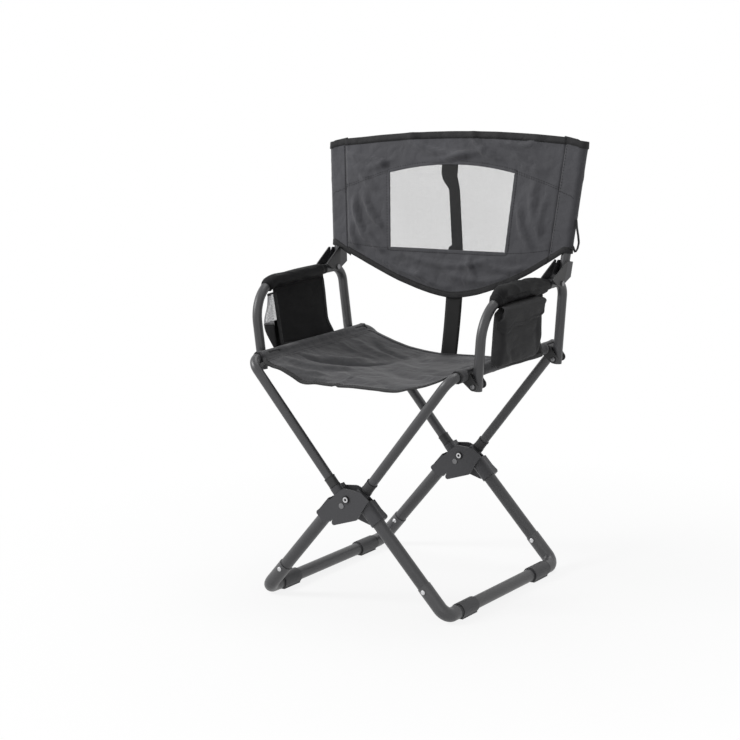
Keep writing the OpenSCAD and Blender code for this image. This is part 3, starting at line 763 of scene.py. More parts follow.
def tape(path: Sequence[Vector], into: Vector, out: Union[Vector, Sequence[Vector]],
         width: float, wrap: float, thick: float) -> Draft:
    """Folds binding tape round the edge of a cloth.

    Args:
        path: points along the cloth's edge, in millimetres.
        into: the direction into the cloth.
        out: the way out of the cloth, or a list of them for the points of the path.
        width: how far the tape reaches over the cloth.
        wrap: how far the tape's middle stands off the cloth's middle.
        thick: the tape's thickness.

    Returns:
        The draft of the tape, as a closed shape.
    """
    rim = []
    for reach, way in ((wrap + thick / 2, 1), (wrap - thick / 2, -1)):
        arc = [(width, reach), (width * 0.5, reach), (0.0, reach), (-reach * 0.8, reach * 0.6), (-reach, 0.0)]
        rim += (arc + [(x, -y) for x, y in arc[-2::-1]])[::way]
    outs = [out] * len(path) if isinstance(out, Vector) else out
    rows = [[point + into * x + up * y for x, y in rim] for point, up in zip(path, outs)]
    draft = Draft().sheet(rows, wrap=True)
    count, last = len(rim), (len(path) - 1) * len(rim)
    for a in range(count // 2 - 1):
        b = count - 1 - a
        draft.faces.append((a, b, b - 1, a + 1))
        draft.faces.append((last + a + 1, last + b - 1, last + b, last + a))
    return draft


# ---- where things are -----------------------------------------------------------------------


@dataclass(frozen=True)
class Layout:
    """The chair's own sizes, in millimetres and degrees, as its frame has them."""

    rear: float = 206.5
    seat_half: float = 229.0
    seat_height: float = 472.0
    tube_r: float = 9.5
    pin_x: float = 249.0
    pin_z: float = 452.0
    splay: float = math.radians(5.8)
    arm_rise: float = 157.0
    arm_bend_r: float = 75.0
    post_front: float = -142.5
    post_rear: float = 162.5
    hinge_y: float = 131.5
    back_lean: float = math.radians(8.7)
    back_offset: float = 25.0

    def arm(self, side: Side, x: float, y: float, z: float) -> Vector:
        """A place in the plane of an arm: x outward, z up from its pins, in millimetres."""
        s, c = math.sin(self.splay), math.cos(self.splay)
        return Vector((side.value * (self.pin_x + x * c + z * s), y, self.pin_z - x * s + z * c))

    def arm_way(self, side: Side, x: float, y: float, z: float) -> Vector:
        """A direction in the plane of an arm."""
        return (self.arm(side, x, y, z) - self.arm(side, 0, 0, 0)).normalized()

    def upright(self, side: Side, x: float, y: float, z: float) -> Vector:
        """A place in the frame of an upright: z up along it from the hinge pin, in millimetres."""
        s, c = math.sin(self.back_lean), math.cos(self.back_lean)
        return self.arm(side, x, self.hinge_y + y * c + z * s, self.arm_rise - y * s + z * c)

    @property
    def mid_lean(self) -> float:
        """Lean of the plane that holds both uprights."""
        return math.atan(math.tan(self.back_lean) / math.cos(self.splay))

    def back(self, x: float, y: float, z: float) -> Vector:
        """Finds a place in the frame midway between the uprights.

        Args:
            x: the place across.
            y: how far it is behind the uprights' plane.
            z: the height above the hinge, along the uprights.

        Returns:
            The place, in millimetres.
        """
        s, c = math.sin(self.mid_lean), math.cos(self.mid_lean)
        base = self.pin_z + self.arm_rise * math.cos(self.splay)
        return Vector((x, self.hinge_y + y * c + z * s, base - y * s + z * c))

    def back_way(self, x: float, y: float, z: float) -> Vector:
        """A direction in the frame midway between the uprights."""
        return (self.back(x, y, z) - self.back(0, 0, 0)).normalized()

    def back_half(self, z: float) -> float:
        """Half width between the uprights at a height above the hinge."""
        flare = math.asin(math.sin(self.splay) * math.cos(self.back_lean))
        return self.pin_x + self.arm_rise * math.sin(self.splay) + z * math.tan(flare)


LAYOUT = Layout()


# ---- hard parts -----------------------------------------------------------------------------


@dataclass
class HardParts:
    """The tubes, brackets, rivets and mouldings of the frame, which keep their own shapes."""

    finishes: dict[str, HardFinish] = field(default_factory=lambda: {
        "seat_tube": TUBE_PAINT, "leg_front": TUBE_PAINT, "leg_rear": TUBE_PAINT, "floor_rail": TUBE_PAINT,
        "arm_tube": TUBE_PAINT, "upright_left": TUBE_PAINT, "upright_right": TUBE_PAINT,
        "elbow": ELBOW_PAINT, "hub_bracket": BRACKET_PAINT, "back_bracket": BRACKET_PAINT,
        "arm_brackets": BLACK_NYLON, "leg_rivets": ZINC, "main_pivot": HUB_BOLT, "stop_pins": PIN_STEEL,
        "arm_pins": PIN_STEEL, "hinge_pin": PIN_STEEL, "rail_rings": BLACK_NYLON, "tube_collars": BLACK_NYLON,
        "arm_bushes": BLACK_NYLON, "hinge_plates": BLACK_NYLON, "upright_cap": BLACK_NYLON,
        "foot_pads": FOOT_NYLON,
    })

    def build(self) -> None:
        """Dresses every node that stays in view."""
        for name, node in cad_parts.items():
            finish = next((f for start, f in self.finishes.items() if name.startswith(start)), None)
            if finish is None:
                continue
            node.data.materials.clear()
            node.data.materials.append(finish.material())
            log.info("%s wears %s", name, finish.name)


# ---- seat -----------------------------------------------------------------------------------


@dataclass
class SeatSling:
    """The seat: one cloth with a sleeve round each rail, hanging in a shallow curve between them."""

    sag: float = 40.0
    ring_r: float = 10.7
    rim: float = 12.0
    sleeve_inset: float = 22.0
    cloth: float = 1.6
    notch: float = 18.6
    hem: float = 12.0
    hem_line: float = 180.0
    steps: int = 72
    drape: float = 2.7
    crease: float = 2.1
    wave: float = 1.2
    broad: Ripple = Ripple(75.0, 4.2, 1.6)
    small: Ripple = Ripple(28.0, 8.8, 0.8)
    pucker: Ripple = Ripple(16.0, 1.4, 0.7)
    pull: Ripple = Ripple(40.0, 2.0, 2.2)
    pull_step: float = 5.2
    pull_reach: float = 20.0
    pull_height: float = 2.0
    bow: float = 6.0
    notch_out: float = 8.5
    seams: tuple[float, float] = (19.0, 24.0)
    motion: Motion = Motion("frame_b", "frame_a", (-0.229, 0, 0.472), (0.229, 0, 0.472))
    folds: tuple[Fold, ...] = (
        Fold((-186, -186), (-84, -166), 9, -3.4), Fold((-176, -172), (-112, -138), 11, 3.6),
        Fold((-192, -132), (-96, -62), 11, 4.0), Fold((-170, -42), (-118, 24), 12, 3.2),
        Fold((-188, -76), (-78, 28), 10, -3.8), Fold((-82, -102), (34, -140), 17, 3.2),
        Fold((16, -118), (104, -168), 17, -3.4), Fold((-168, 142), (-72, 106), 14, -3.4),
        Fold((-182, 106), (-84, 84), 11, 2.8), Fold((-196, 60), (-120, 52), 9, 2.4),
        Fold((-44, -122), (-38, -192), 4, 1.6), Fold((192, -152), (104, -92), 12, 3.4),
        Fold((196, -62), (92, -28), 11, -3.4), Fold((198, 18), (112, 34), 12, 2.8),
        Fold((192, 112), (104, 74), 11, -3.2), Fold((184, 166), (98, 122), 12, 3.2),
        Fold((-46, 42), (62, 8), 22, 2.2), Fold((-22, -18), (86, -62), 20, -2.2),
        Fold((-10, 124), (92, 152), 18, 2.2), Fold((-70, 150), (-16, 90), 16, -1.8),
    )

    def height(self, x: float) -> float:
        """Height of the cloth's middle at a distance from the chair's middle."""
        inner = LAYOUT.seat_half - self.ring_r
        return LAYOUT.seat_height + 1.0 - self.sag * (1 - min(1.0, abs(x / inner) ** self.drape))

    def profile(self) -> list[tuple[float, float, float]]:
        """The cloth from the left sleeve's seam, round both rails.

        Returns:
            Places across and up, each with its angle round a rail, or OFF_RAIL between the rails.
        """
        left = []
        for angle in spread(-150, 165, 28):
            a = math.radians(180 - angle)
            left.append((self.ring_r * math.cos(a) - LAYOUT.seat_half,
                         LAYOUT.seat_height + self.ring_r * math.sin(a), 180 - angle))
        inner = LAYOUT.seat_half - self.ring_r
        middle = [(x, self.height(x), OFF_RAIL) for x in spread(-inner + 2.5, inner - 2.5, 96)]
        return left + middle + [(-x, z, angle) for x, z, angle in reversed(left)]

    def wrinkle(self, x: float, y: float) -> float:
        """How far the creases lift the cloth off its smooth curve.

        Args:
            x: the place across the seat.
            y: the place along it.

        Returns:
            The lift, in millimetres.
        """
        edge = LAYOUT.seat_half - abs(x)
        y = max(-self.hem_line, min(self.hem_line, y))
        near = ease((edge - 10) / 16.0)
        ticks = math.sin(y / self.pull_step + self.pull.at(y, x))
        pull = self.pull_height * ticks * math.exp(-edge / self.pull_reach)
        broad = self.broad.at(x, y) + self.small.at(x, y)
        wave = self.wave * math.sin(x / 30.0 + 0.8) * ease((abs(y) - 150) / 45.0) * ease(edge / 90.0)
        return near * (pull + broad + wave + self.crease * sum(fold.lift(x, y) for fold in self.folds))

    def gather(self, angle: float, y: float) -> float:
        """How far the sleeve's cloth puckers off its rail.

        Args:
            angle: the angle round the rail, in degrees.
            y: the place along it.

        Returns:
            The distance, in millimetres.
        """
        end = ease((abs(y) - 150) / 36.0)
        folds = max(0.0, math.sin(math.radians(angle) * 5 + y / 9.0)) * 1.3 * end
        return folds + max(0.0, self.pucker.at(angle, y))

    def point(self, x: float, z: float, angle: float, y: float) -> Vector:
        """Finds a point of the cloth, with its creases.

        Args:
            x: the place across.
            z: the height.
            angle: the angle round a rail, or OFF_RAIL.
            y: the place from front to back.

        Returns:
            The point, in millimetres.
        """
        if angle == OFF_RAIL:
            return Vector((x, y, z + self.wrinkle(x, y)))
        side = math.copysign(LAYOUT.seat_half, x)
        off = Vector((x - side, 0, z - LAYOUT.seat_height))
        return Vector((side, y, LAYOUT.seat_height)) + off * (1 + self.gather(angle, y) / self.ring_r)

    def build(self) -> None:
        """Makes the seat cloth, its hems and its stitches."""
        profile = self.profile()
        ends = LAYOUT.rear - self.sleeve_inset
        rows = []
        for v in spread(-1, 1, self.steps):
            row = []
            for x, z, angle in profile:
                edge = LAYOUT.seat_half - abs(x)
                reach = ends + (self.sleeve_inset - self.rim) * ease((edge - 14) / 10.0)
                reach -= self.bow * ease((edge - 30) / 200.0)
                row.append(self.point(x, z, angle, v * reach))
            rows.append(row)

        def keep(i: int, j: int) -> bool:
            """Tells where the arm brackets leave the sleeve closed.

            Args:
                i: the face's row.
                j: the face's column.

            Returns:
                False where the sleeve is open.
            """
            x, z, angle = profile[j]
            if angle == OFF_RAIL:
                return True
            y = (rows[i][j].y + rows[i + 1][j].y) / 2
            near = min(abs(y - LAYOUT.post_front), abs(y - LAYOUT.post_rear)) < self.notch
            out, up = abs(x) - LAYOUT.seat_half, z - LAYOUT.seat_height
            return not (near and out > -self.notch_out and up < self.notch_out)

        draft = Draft().sheet(rows, keep=keep)
        seat = draft.piece("seat_cloth", SEAT_CLOTH, thick=self.cloth)
        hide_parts("seat_sling")
        self.motion.attach(seat)
        self.trim(rows, profile)
        for side in Side:
            for name, way in (("front", -1), ("rear", 1)):
                self.cuff(side, name, way * (ends - 2.5))

    def cuff(self, side: Side, name: str, y: float) -> None:
        """Makes the bound end of one rail sleeve.

        Args:
            side: the side of the rail.
            name: the end's word, front or rear.
            y: the middle of the cuff, along the rail.
        """
        rows = []
        for angle in spread(0, 360, 36)[:-1]:
            a = math.radians(angle)
            way = Vector((math.cos(a), 0, math.sin(a)))
            swell = 0.35 * math.sin(a * 7) + 0.25 * math.sin(a * 4 + 1)
            rim = ((-3.2, 10.2), (-2.6, 11.9 + swell), (0.0, 12.4 + swell), (2.6, 11.9 + swell), (3.2, 10.2),
                   (0.0, 9.9))
            end = Vector((side.value * LAYOUT.seat_half, y, LAYOUT.seat_height))
            rows.append([end + Vector((0, d, 0)) + way * r for d, r in rim])
        draft = Draft().sheet(rows + rows[:1], wrap=True)
        made = draft.piece(f"seat_cuff_{name}_{side.word}", BINDING)
        Motion("frame_b" if side is Side.LEFT else "frame_a").attach(made)

    def trim(self, rows: Sequence[Sequence[Vector]], profile: Sequence[tuple[float, float, float]]) -> None:
        """Adds the bound front and rear edges and the rows of stitches.

        Args:
            rows: the cloth's rows, from the front.
            profile: the cloth's columns.
        """
        flat = [j for j, p in enumerate(profile) if p[2] == OFF_RAIL][1:-1]
        up = Vector((0, 0, 1))
        sewing = Sewing()
        for name, edge, way in (("front", 0, 1), ("rear", -1, -1)):
            path = [rows[edge][j] for j in flat]
            draft = tape(path, Vector((0, way, 0)), up, self.hem, 1.3, 0.8)
            finish = BINDING if name == "front" else SEAT_CLOTH
            self.motion.attach(draft.piece(f"seat_binding_{name}", finish))
            sewing.run([p + Vector((0, way * (self.hem - 2.5), 0)) for p in path], up, 2.1)
        for side in (-1, 1):
            for inset in self.seams:
                x = side * (LAYOUT.seat_half - inset)
                path = [self.point(x, self.height(x), OFF_RAIL, y) for y in spread(-186, 186, 90)]
                sewing.run(path, up, 1.0)
        sewing.piece("seat_stitches", self.motion)


# ---- back -----------------------------------------------------------------------------------


@dataclass
class FoldingBack:
    """The back: a cloth between two sleeved uprights, with a net window, a strap behind and a tab."""

    low: float = 51.0
    belly: float = 97.0
    top: float = 262.0
    crown: float = 18.0
    cloth_y: float = 14.2
    window_half: float = 143.0
    window_flare: float = 6.0
    window_low: float = 46.0
    window_top: float = 200.5
    window_arch: float = 17.0
    seam_in: float = 31.0
    ring_r: float = 10.9
    cloth: float = 1.5
    top_hem: float = 13.0
    low_hem: float = 11.0
    bay: int = 18
    window_columns: int = 54
    bands: tuple[int, int, int] = (18, 30, 16)
    pitch: float = 1.6
    thread: float = 0.14
    mid: float = 100.0
    shift: float = 3.0
    low_slip: tuple[float, float] = (1.5, 5.0)
    top_slip: tuple[float, float] = (7.0, 9.0)
    sill_rise: float = 9.0
    head_fall: float = 32.0
    cap_gap: float = 3.0
    crease: float = 2.6
    crinkle: Ripple = Ripple(40.0, 1.7, 2.4)
    fine: Ripple = Ripple(16.0, 6.1, 0.8)
    tick: Ripple = Ripple(50.0, 3.0, 2.0)
    tick_step: float = 6.0
    tick_reach: float = 14.0
    pull: Ripple = Ripple(15.0, 5.0, 0.9)
    uneven: Ripple = Ripple(90.0, 2.0, 0.1)
    proud: float = 5.0
    lane: float = 44.0
    lane_proud: float = 0.7
    strap_x: float = -6.0
    strap_y: float = 16.3
    strap_half: float = 19.0
    strap_in: float = 6.5
    strap_foot: tuple[float, float, float] = (-22.0, -16.2, -46.0)
    knot: tuple[tuple[float, float], ...] = ((4, 45), (8, 49), (14, 52), (20, 51), (25, 46))
    loop: tuple[tuple[float, float], ...] = (
        (12.6, 124), (16, 110), (21, 96), (25, 82), (24, 70), (20.5, 62), (12.8, 74),
    )
    folds: tuple[Fold, ...] = (
        Fold((-246, 236), (34, 236), 9, -4.4), Fold((-96, 264), (40, 240), 9, -4.0),
        Fold((-236, 212), (-150, 222), 8, -2.6), Fold((-226, 140), (-194, 66), 9, -4.2),
        Fold((-202, 150), (-158, 92), 8, -3.8), Fold((-234, 92), (-214, 48), 7, -3.0),
        Fold((-214, 196), (-176, 168), 8, -2.4), Fold((-190, 76), (-150, 40), 8, -2.8),
        Fold((48, 268), (124, 222), 9, -3.6), Fold((104, 262), (196, 258), 8, -3.0),
        Fold((150, 236), (214, 204), 10, -2.6), Fold((196, 176), (206, 96), 11, -2.8),
        Fold((164, 132), (196, 58), 9, -3.0), Fold((224, 150), (214, 84), 7, -2.2),
        Fold((-72, 28), (90, 30), 6, -2.4), Fold((56, 34), (72, -4), 7, -2.6),
        Fold((-150, 26), (-52, -6), 10, -3.0), Fold((14, 2), (128, -4), 11, -2.8),
        Fold((-64, 2), (4, -24), 9, -2.4), Fold((92, 26), (168, 16), 9, -2.6),
    )

    def motion(self, side: Optional[Side] = None) -> Motion:
        """Tells how a piece of the back moves.

        Args:
            side: the side of its upright, or none if it lies between the two; such a piece rides the left
                upright with a fold point given, and is not folded here.

        Returns:
            The motion.
        """
        if side is not None:
            return Motion(f"back_{side.word}")
        anchor = LAYOUT.back(-LAYOUT.back_half(0) + self.seam_in, 0, 0) * MM
        return Motion("back_left", folds_to=tuple(anchor))

    def low_edge(self, u: float) -> float:
        """Height of the lower edge, at a share of the half width."""
        return self.low - self.belly * (1 - abs(u - 0.06 * (1 - u * u)) ** 1.6)

    def top_edge(self, u: float) -> float:
        """Height of the upper edge, at a share of the half width."""
        return self.top + self.crown * (1 - u * u)

    def window_x(self, z: float) -> float:
        """Half width of the window at a height."""
        share = (z - self.window_low) / (self.window_top - self.window_low)
        return self.window_half - self.window_flare + 2 * self.window_flare * min(max(share, 0), 1)

    def slip(self, u: float, z: float) -> float:
        """Tells how far the cloth has slid up its uprights, which is further on the right.

        Args:
            u: the place across, as a share of the half width.
            z: the height.

        Returns:
            The distance, in millimetres.
        """
        up = min(1.0, max(0.0, z / self.top))
        low, top = self.low_slip, self.top_slip
        return (low[0] + low[1] * u ** 3) * (1 - up) + max(0.0, top[0] + top[1] * u) * up

    def hang(self, x: float, y: float, z: float) -> Vector:
        """Finds a place in the back's frame, moved as the cloth has slid on its uprights.

        Args:
            x: the place across.
            y: how far it is behind the uprights' plane.
            z: the height above the hinge.

        Returns:
            The place, in millimetres.
        """
        u = x / LAYOUT.back_half(z)
        rise = self.slip(u, z)
        return LAYOUT.back(x + self.shift * max(0.0, 1 - u * u) + u * rise * self.flare, y, z + rise)

    @property
    def flare(self) -> float:
        """How much wider apart the uprights are for each millimetre of height."""
        return LAYOUT.back_half(1.0) - LAYOUT.back_half(0.0)

    def place(self, x: float, z: float) -> Vector:
        """A point of the cloth's middle surface."""
        return self.hang(x, self.cloth_y + self.dip(x, z), z)

    def dip(self, x: float, z: float) -> float:
        """Tells how far the creases stand back from the plane, less near the window and the seams.

        Args:
            x: the place across.
            z: the height.

        Returns:
            The distance, in millimetres.
        """
        half = LAYOUT.back_half(z)
        u = x / half
        z = min(max(z, self.low_edge(u) + self.low_hem), self.top_edge(u) - self.top_hem)
        past_x = max(0.0, abs(x) - self.window_x(z))
        past_z = max(0.0, self.window_low - z, z - self.window_top - self.window_arch)
        inside = half - self.seam_in - abs(x)
        free = ease(math.hypot(past_x, past_z) / 15.0) * ease(inside / 9.0)
        crinkle = abs(self.crinkle.at(x, z)) - self.crinkle.height / 2 + self.fine.at(x, z)
        ticks = math.sin(z / self.tick_step + self.tick.at(x, z)) * math.exp(-inside / self.tick_reach)
        back = crinkle + ticks + self.crease * sum(fold.lift(x, z) for fold in self.folds)
        return min(free * back, self.lane_proud if abs(x) < self.lane else self.proud)

    def columns(self) -> list[tuple[float, float]]:
        """The cloth's columns: a share within one of the three bays, left of, in and right of the window."""
        bays = [(-1, s) for s in spread(0, 1, self.bay)]
        bays += [(0, s) for s in spread(0, 1, self.window_columns)[1:]]
        return bays + [(1, s) for s in spread(0, 1, self.bay)[1:]]

    def column_x(self, column: tuple[float, float], z: float, edge: float) -> float:
        """Where a column lies at a height.

        Args:
            column: the column, as a bay and a share of it.
            z: the height.
            edge: half width of the cloth at that height.

        Returns:
            The place across.
        """
        bay, share = column
        inner = self.window_x(z)
        if bay < 0:
            return -edge + (edge - inner) * share
        if bay > 0:
            return inner + (edge - inner) * share
        return -inner + 2 * inner * share

    def levels(self, column: tuple[float, float]) -> list[float]:
        """Heights of the four lines that bound the cloth's bands on one column.

        Args:
            column: the column, as a bay and a share of it.

        Returns:
            The lower edge, the window's sill and head carried outward, and the upper edge.
        """
        bay, share = column
        out = 0.0 if bay == 0 else (1 - share if bay < 0 else share)
        half = LAYOUT.back_half(self.mid)
        x = self.column_x(column, self.mid, half - self.seam_in)
        u = x / half
        sill = self.window_low + self.sill_rise * out * out
        head = self.window_top - self.head_fall * out
        if bay == 0:
            head += self.window_arch * (1 - (x / self.window_x(self.mid)) ** 2)
        return [self.low_edge(u), sill, head, self.top_edge(u)]

    def main_cloth(self) -> list[list[Vector]]:
        """Lays the cloth between the sleeves' seams.

        Returns:
            Its rows, from the lower edge.
        """
        columns = self.columns()
        rows: list[list[Vector]] = []
        for band, steps in enumerate(self.bands):
            for i in range(0 if band == 0 else 1, steps + 1):
                row = []
                for column in columns:
                    levels = self.levels(column)
                    z = levels[band] + (levels[band + 1] - levels[band]) * i / steps
                    edge = LAYOUT.back_half(z) - self.seam_in
                    row.append(self.place(self.column_x(column, z, edge), z))
                rows.append(row)
        return rows

    def build(self) -> None:
        """Makes the back with its window, sleeves, strap, tab, bindings and stitches."""
        rows = self.main_cloth()
        low, high = self.bands[0], self.bands[0] + self.bands[1]
        left, right = self.bay, self.bay + self.window_columns
        draft = Draft().sheet(rows, keep=lambda i, j: not (low <= i < high and left <= j < right))
        panel = draft.piece("back_cloth", BACK_CLOTH, thick=self.cloth)
        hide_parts("back_panel")
        self.motion().attach(panel)
        sleeves = {side: self.sleeve(side) for side in Side}
        self.net()
        self.straps()
        self.tab()
        self.bindings(rows, sleeves)
        self.window_trim(rows, low, high, left, right)

    def sleeve(self, side: Side) -> list[list[Vector]]:
        """Makes the sleeve round one upright, out to its seam with the main cloth.

        Args:
            side: the side of the upright.

        Returns:
            The sleeve's rows, from its lower end, each from the seam outward and round.
        """
        low, top = self.low, self.top - self.cap_gap
        u = (LAYOUT.back_half(self.mid) - self.seam_in) / LAYOUT.back_half(self.mid)
        seam_low, seam_top = self.low_edge(u), self.top_edge(u)
        rows = []
        for v in spread(0, 1, 44):
            z = low + (top - low) * v
            z_seam = seam_low + (seam_top - seam_low) * v
            row = []
            for share in spread(0, 1, 6)[:-1]:
                zz = z_seam * (1 - share) + z * share
                row.append(self.place(side.value * (LAYOUT.back_half(zz) - self.seam_in * (1 - share)), zz))
            for angle in spread(-90, 210, 26):
                a = math.radians(angle)
                r = self.ring_r + max(0.0, self.pull.at(angle / 3.0, z, side.value * 50.0))
                row.append(LAYOUT.upright(side, r * math.cos(a), LAYOUT.back_offset + r * math.sin(a),
                                          z + self.slip(side.value, z)))
            rows.append(row)
        grid = [list(reversed(row)) for row in rows] if side is Side.LEFT else rows
        sleeve = Draft().sheet(grid).piece(f"back_sleeve_{side.word}", BACK_CLOTH, thick=self.cloth)
        self.motion(side).attach(sleeve)
        normal = -LAYOUT.back_way(0, 1, 0)
        sewing = Sewing()
        sewing.run([row[1].lerp(row[0], 0.5) for row in rows[:-1]], normal, 1.0)
        head = (self.window_top - self.head_fall - low) / (top - low)
        k = round(head * (len(rows) - 1))
        sewing.run([rows[max(0, k - j // 2)][j] for j in range(9)], normal, 1.0)
        sewing.piece(f"back_sleeve_stitches_{side.word}", self.motion(side))
        return rows

    def bindings(self, rows: Sequence[Sequence[Vector]], sleeves: dict[Side, list[list[Vector]]]) -> None:
        """Adds the tapes along the upper and lower edges, which run on over both sleeves.

        Args:
            rows: the main cloth's rows.
            sleeves: each side's sleeve rows.
        """
        up, out = LAYOUT.back_way(0, 0, 1), LAYOUT.back_way(0, 1, 0)
        sewing = Sewing()
        for name, edge, into, width in (("top", -1, -up, self.top_hem), ("low", 0, up, self.low_hem)):
            row = list(rows[edge])
            draft = tape(row, into, out, width, 1.25, 0.8)
            self.motion().attach(draft.piece(f"back_binding_{name}", BINDING))
            sewing.run([p + into * (width - 2.0) for p in row], -out, 1.9)
            for side, sleeve in sleeves.items():
                lift = 1.5 if edge else 0.0
                path = [p - into * lift for p in sleeve[edge]]
                path = [path[0] * 2 - path[1]] + path
                height = self.top if edge else self.low
                centre = LAYOUT.upright(side, 0, LAYOUT.back_offset, height + self.slip(side.value, height))
                normals = [out] * 7 + [self.outward(p, centre, up) for p in path[7:]]
                draft = tape(path, into, normals, width, 1.2, 0.8)
                self.motion(side).attach(draft.piece(f"back_binding_{name}_{side.word}", BINDING))
        sewing.piece("back_binding_stitches", self.motion())

    def outward(self, point: Vector, centre: Vector, up: Vector) -> Vector:
        """The way from an upright's middle line to a point, with the sign that the tape needs."""
        away = point - centre
        return -(away - up * away.dot(up)).normalized()

    def net(self) -> None:
        """Makes the window's net from its separate threads."""
        draft = Draft()

        def strand(a: Vector, b: Vector, flat: Vector, out: Vector) -> None:
            """Adds one thread, as a thin bar that is finer or coarser along its way.

            Args:
                a: one end.
                b: the other end.
                flat: the way across the thread, in the net.
                out: the way out of the net.
            """
            rings = []
            for end in (a.lerp(b, t) for t in spread(0, 1, 6)):
                half = self.thread * (1 + self.uneven.at(*end))
                rings.append([end + flat * x * half + out * y * half * 0.7 for x, y in SQUARE])
            draft.bar(rings)

        across, rise, out = LAYOUT.back_way(1, 0, 0), LAYOUT.back_way(0, 0, 1), LAYOUT.back_way(0, 1, 0)
        y = self.cloth_y - 0.2
        wide = self.window_half + self.window_flare
        x = -wide + self.pitch / 2
        while x < wide:
            top = self.window_top + self.window_arch * (1 - (x / wide) ** 2)
            low = self.window_low
            if abs(x) > self.window_x(self.window_low):
                share = (abs(x) - self.window_half + self.window_flare) / (2 * self.window_flare)
                low += (self.window_top - self.window_low) * share
            if top > low:
                strand(self.hang(x, y, low), self.hang(x, y, top), across, out)
            x += self.pitch
        z = self.window_low + self.pitch / 2
        while z < self.window_top + self.window_arch:
            half = self.window_x(z)
            if z > self.window_top:
                half = wide * math.sqrt(max(0.0, 1 - (z - self.window_top) / self.window_arch))
            strand(self.hang(-half, y, z), self.hang(half, y, z), rise, out)
            z += self.pitch
        net = draft.piece("window_net", WINDOW_THREAD)
        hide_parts("back_window")
        self.motion().attach(net)

    def strap_line(self, z: float) -> tuple[float, float, float]:
        """Where the webbing runs at a height above the hinge.

        Args:
            z: the height.

        Returns:
            Its middle across, how far it stands behind the cloth, and its half width where it is folded.
        """
        narrow = ease((198 - z) / 30.0) * ease((z - 28) / 24.0)
        x = 13.0 * ease((200 - z) / 36.0) + 15.0 * min(1.0, max(0.0, (168 - z) / 115.0))
        return x + self.strap_x, self.strap_y + 0.8 + 1.2 * narrow, self.strap_half - self.strap_in * narrow

    def straps(self) -> None:
        """Makes the webbing behind the back, which folds on itself behind the window, and its lower end."""
        heights = spread(self.top - self.cap_gap, self.low - self.belly + 1, 60)
        lines = [self.strap_line(z) for z in heights]
        path = [self.hang(x, y, z) for (x, y, _), z in zip(lines, heights)]
        halves = [half for _, _, half in lines]
        end = Vector((0, LAYOUT.rear, LAYOUT.seat_height)) + Vector(self.strap_foot)
        lower = [path[-1].lerp(end, t) + Vector((0, 1.6 * math.sin(math.pi * t), 0))
                 for t in spread(0, 1, 16)]

        def section(i: int) -> list[tuple[float, float]]:
            """Outlines the webbing, which is thicker where it is folded.

            Args:
                i: the place along its path.

            Returns:
                The outline, as places across and up.
            """
            half = halves[i]
            thick = 0.7 + 0.9 * ease((18.5 - half) / 6.0)
            over = [(-half, 0.5), (-half + 1, 1), (0, 1), (half - 1, 1), (half, 0.5)]
            return [(x, -y * thick) for x, y in over] + [(x, y * thick) for x, y in reversed(over)]

        strap = Draft().tube(path, section, Vector((0, 1, 0))).piece("back_webbing", WEBBING)
        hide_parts("back_strap")
        self.motion().attach(strap)
        rows = [[p + Vector((x, 0, 0)) for x in spread(-halves[-1], halves[-1], 6)] for p in lower]
        strap = Draft().sheet(rows).piece("seat_webbing", WEBBING, thick=1.5)
        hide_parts("seat_strap")
        Motion("arm_left", folds_to=self.motion().folds_to).attach(strap)
        knot = [self.hang(x - 3.0, self.strap_y + 3.4, z) for x, z in self.knot]

        def swell(i: int) -> list[tuple[float, float]]:
            """Outline of the folded end, fullest in its middle."""
            r = 3.0 + 4.2 * math.sin(math.pi * i / (len(knot) - 1))
            return [(r * math.cos(a), 0.36 * r * math.sin(a)) for a in spread(0, 2 * math.pi, 14)[:-1]]

        draft = Draft().tube(knot, swell, LAYOUT.back_way(0, 1, 0))
        self.motion().attach(draft.piece("strap_fold", WEBBING))

    def tab(self) -> None:
        """Makes the small folded tab on the outside of the right sleeve."""
        path = resample([LAYOUT.upright(Side.RIGHT, x, LAYOUT.back_offset - 2, z) for x, z in self.loop], 3.0)
        across = LAYOUT.arm_way(Side.RIGHT, 0, 1, 0)
        rows = [[p + across * y for y in (-3.6, 0.0, 3.6)] for p in path]
        tab = Draft().sheet(rows).piece("side_tab", BINDING, thick=1.0)
        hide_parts("side_tag")
        self.motion(Side.RIGHT).attach(tab)

    def window_trim(self, rows: Sequence[Sequence[Vector]], low: int, high: int, left: int,
                    right: int) -> None:
        """Adds the window's frame and the rows of stitches.

        Args:
            rows: the main cloth's rows.
            low: the row at the window's sill.
            high: the row at the window's head.
            left: the column at the window's left side.
            right: the column at the window's right side.
        """
        up, out = LAYOUT.back_way(0, 0, 1), LAYOUT.back_way(0, 1, 0)
        motion = self.motion()
        ring = ([rows[low][j] for j in range(left, right)] + [rows[i][right] for i in range(low, high)]
                + [rows[high][j] for j in range(right, left, -1)]
                + [rows[i][left] for i in range(high, low, -1)])
        centre = sum(ring, Vector()) / len(ring)
        count = len(ring)
        rim = [(-6.5, 0.8), (-6.0, 1.2), (0.0, 1.2), (1.6, 1.1), (2.0, 0.6)]
        rim += [(x, -y) for x, y in reversed(rim)]
        strips, seam = [], []
        for i in range(count + 1):
            p = ring[i % count]
            along = (ring[(i + 1) % count] - ring[(i - 1) % count]).normalized()
            inward = out.cross(along).normalized()
            if inward.dot(centre - p) < 0:
                inward = -inward
            face = -out * 0.95
            strips.append([p + inward * x + face * y for x, y in rim])
            seam.append(p - inward * 5.2)
        motion.attach(Draft().sheet(strips, wrap=True).piece("window_binding", BACK_CLOTH))
        sewing = Sewing()
        sewing.run(seam, -out, 1.35)
        for a, b in ((0, left), (len(rows[0]) - 1, right)):
            step = 1 if b > a else -1
            for i in (low, high):
                path = [rows[i][j] for j in range(a, b + step, step)]
                sewing.run(path, -out, 1.0)
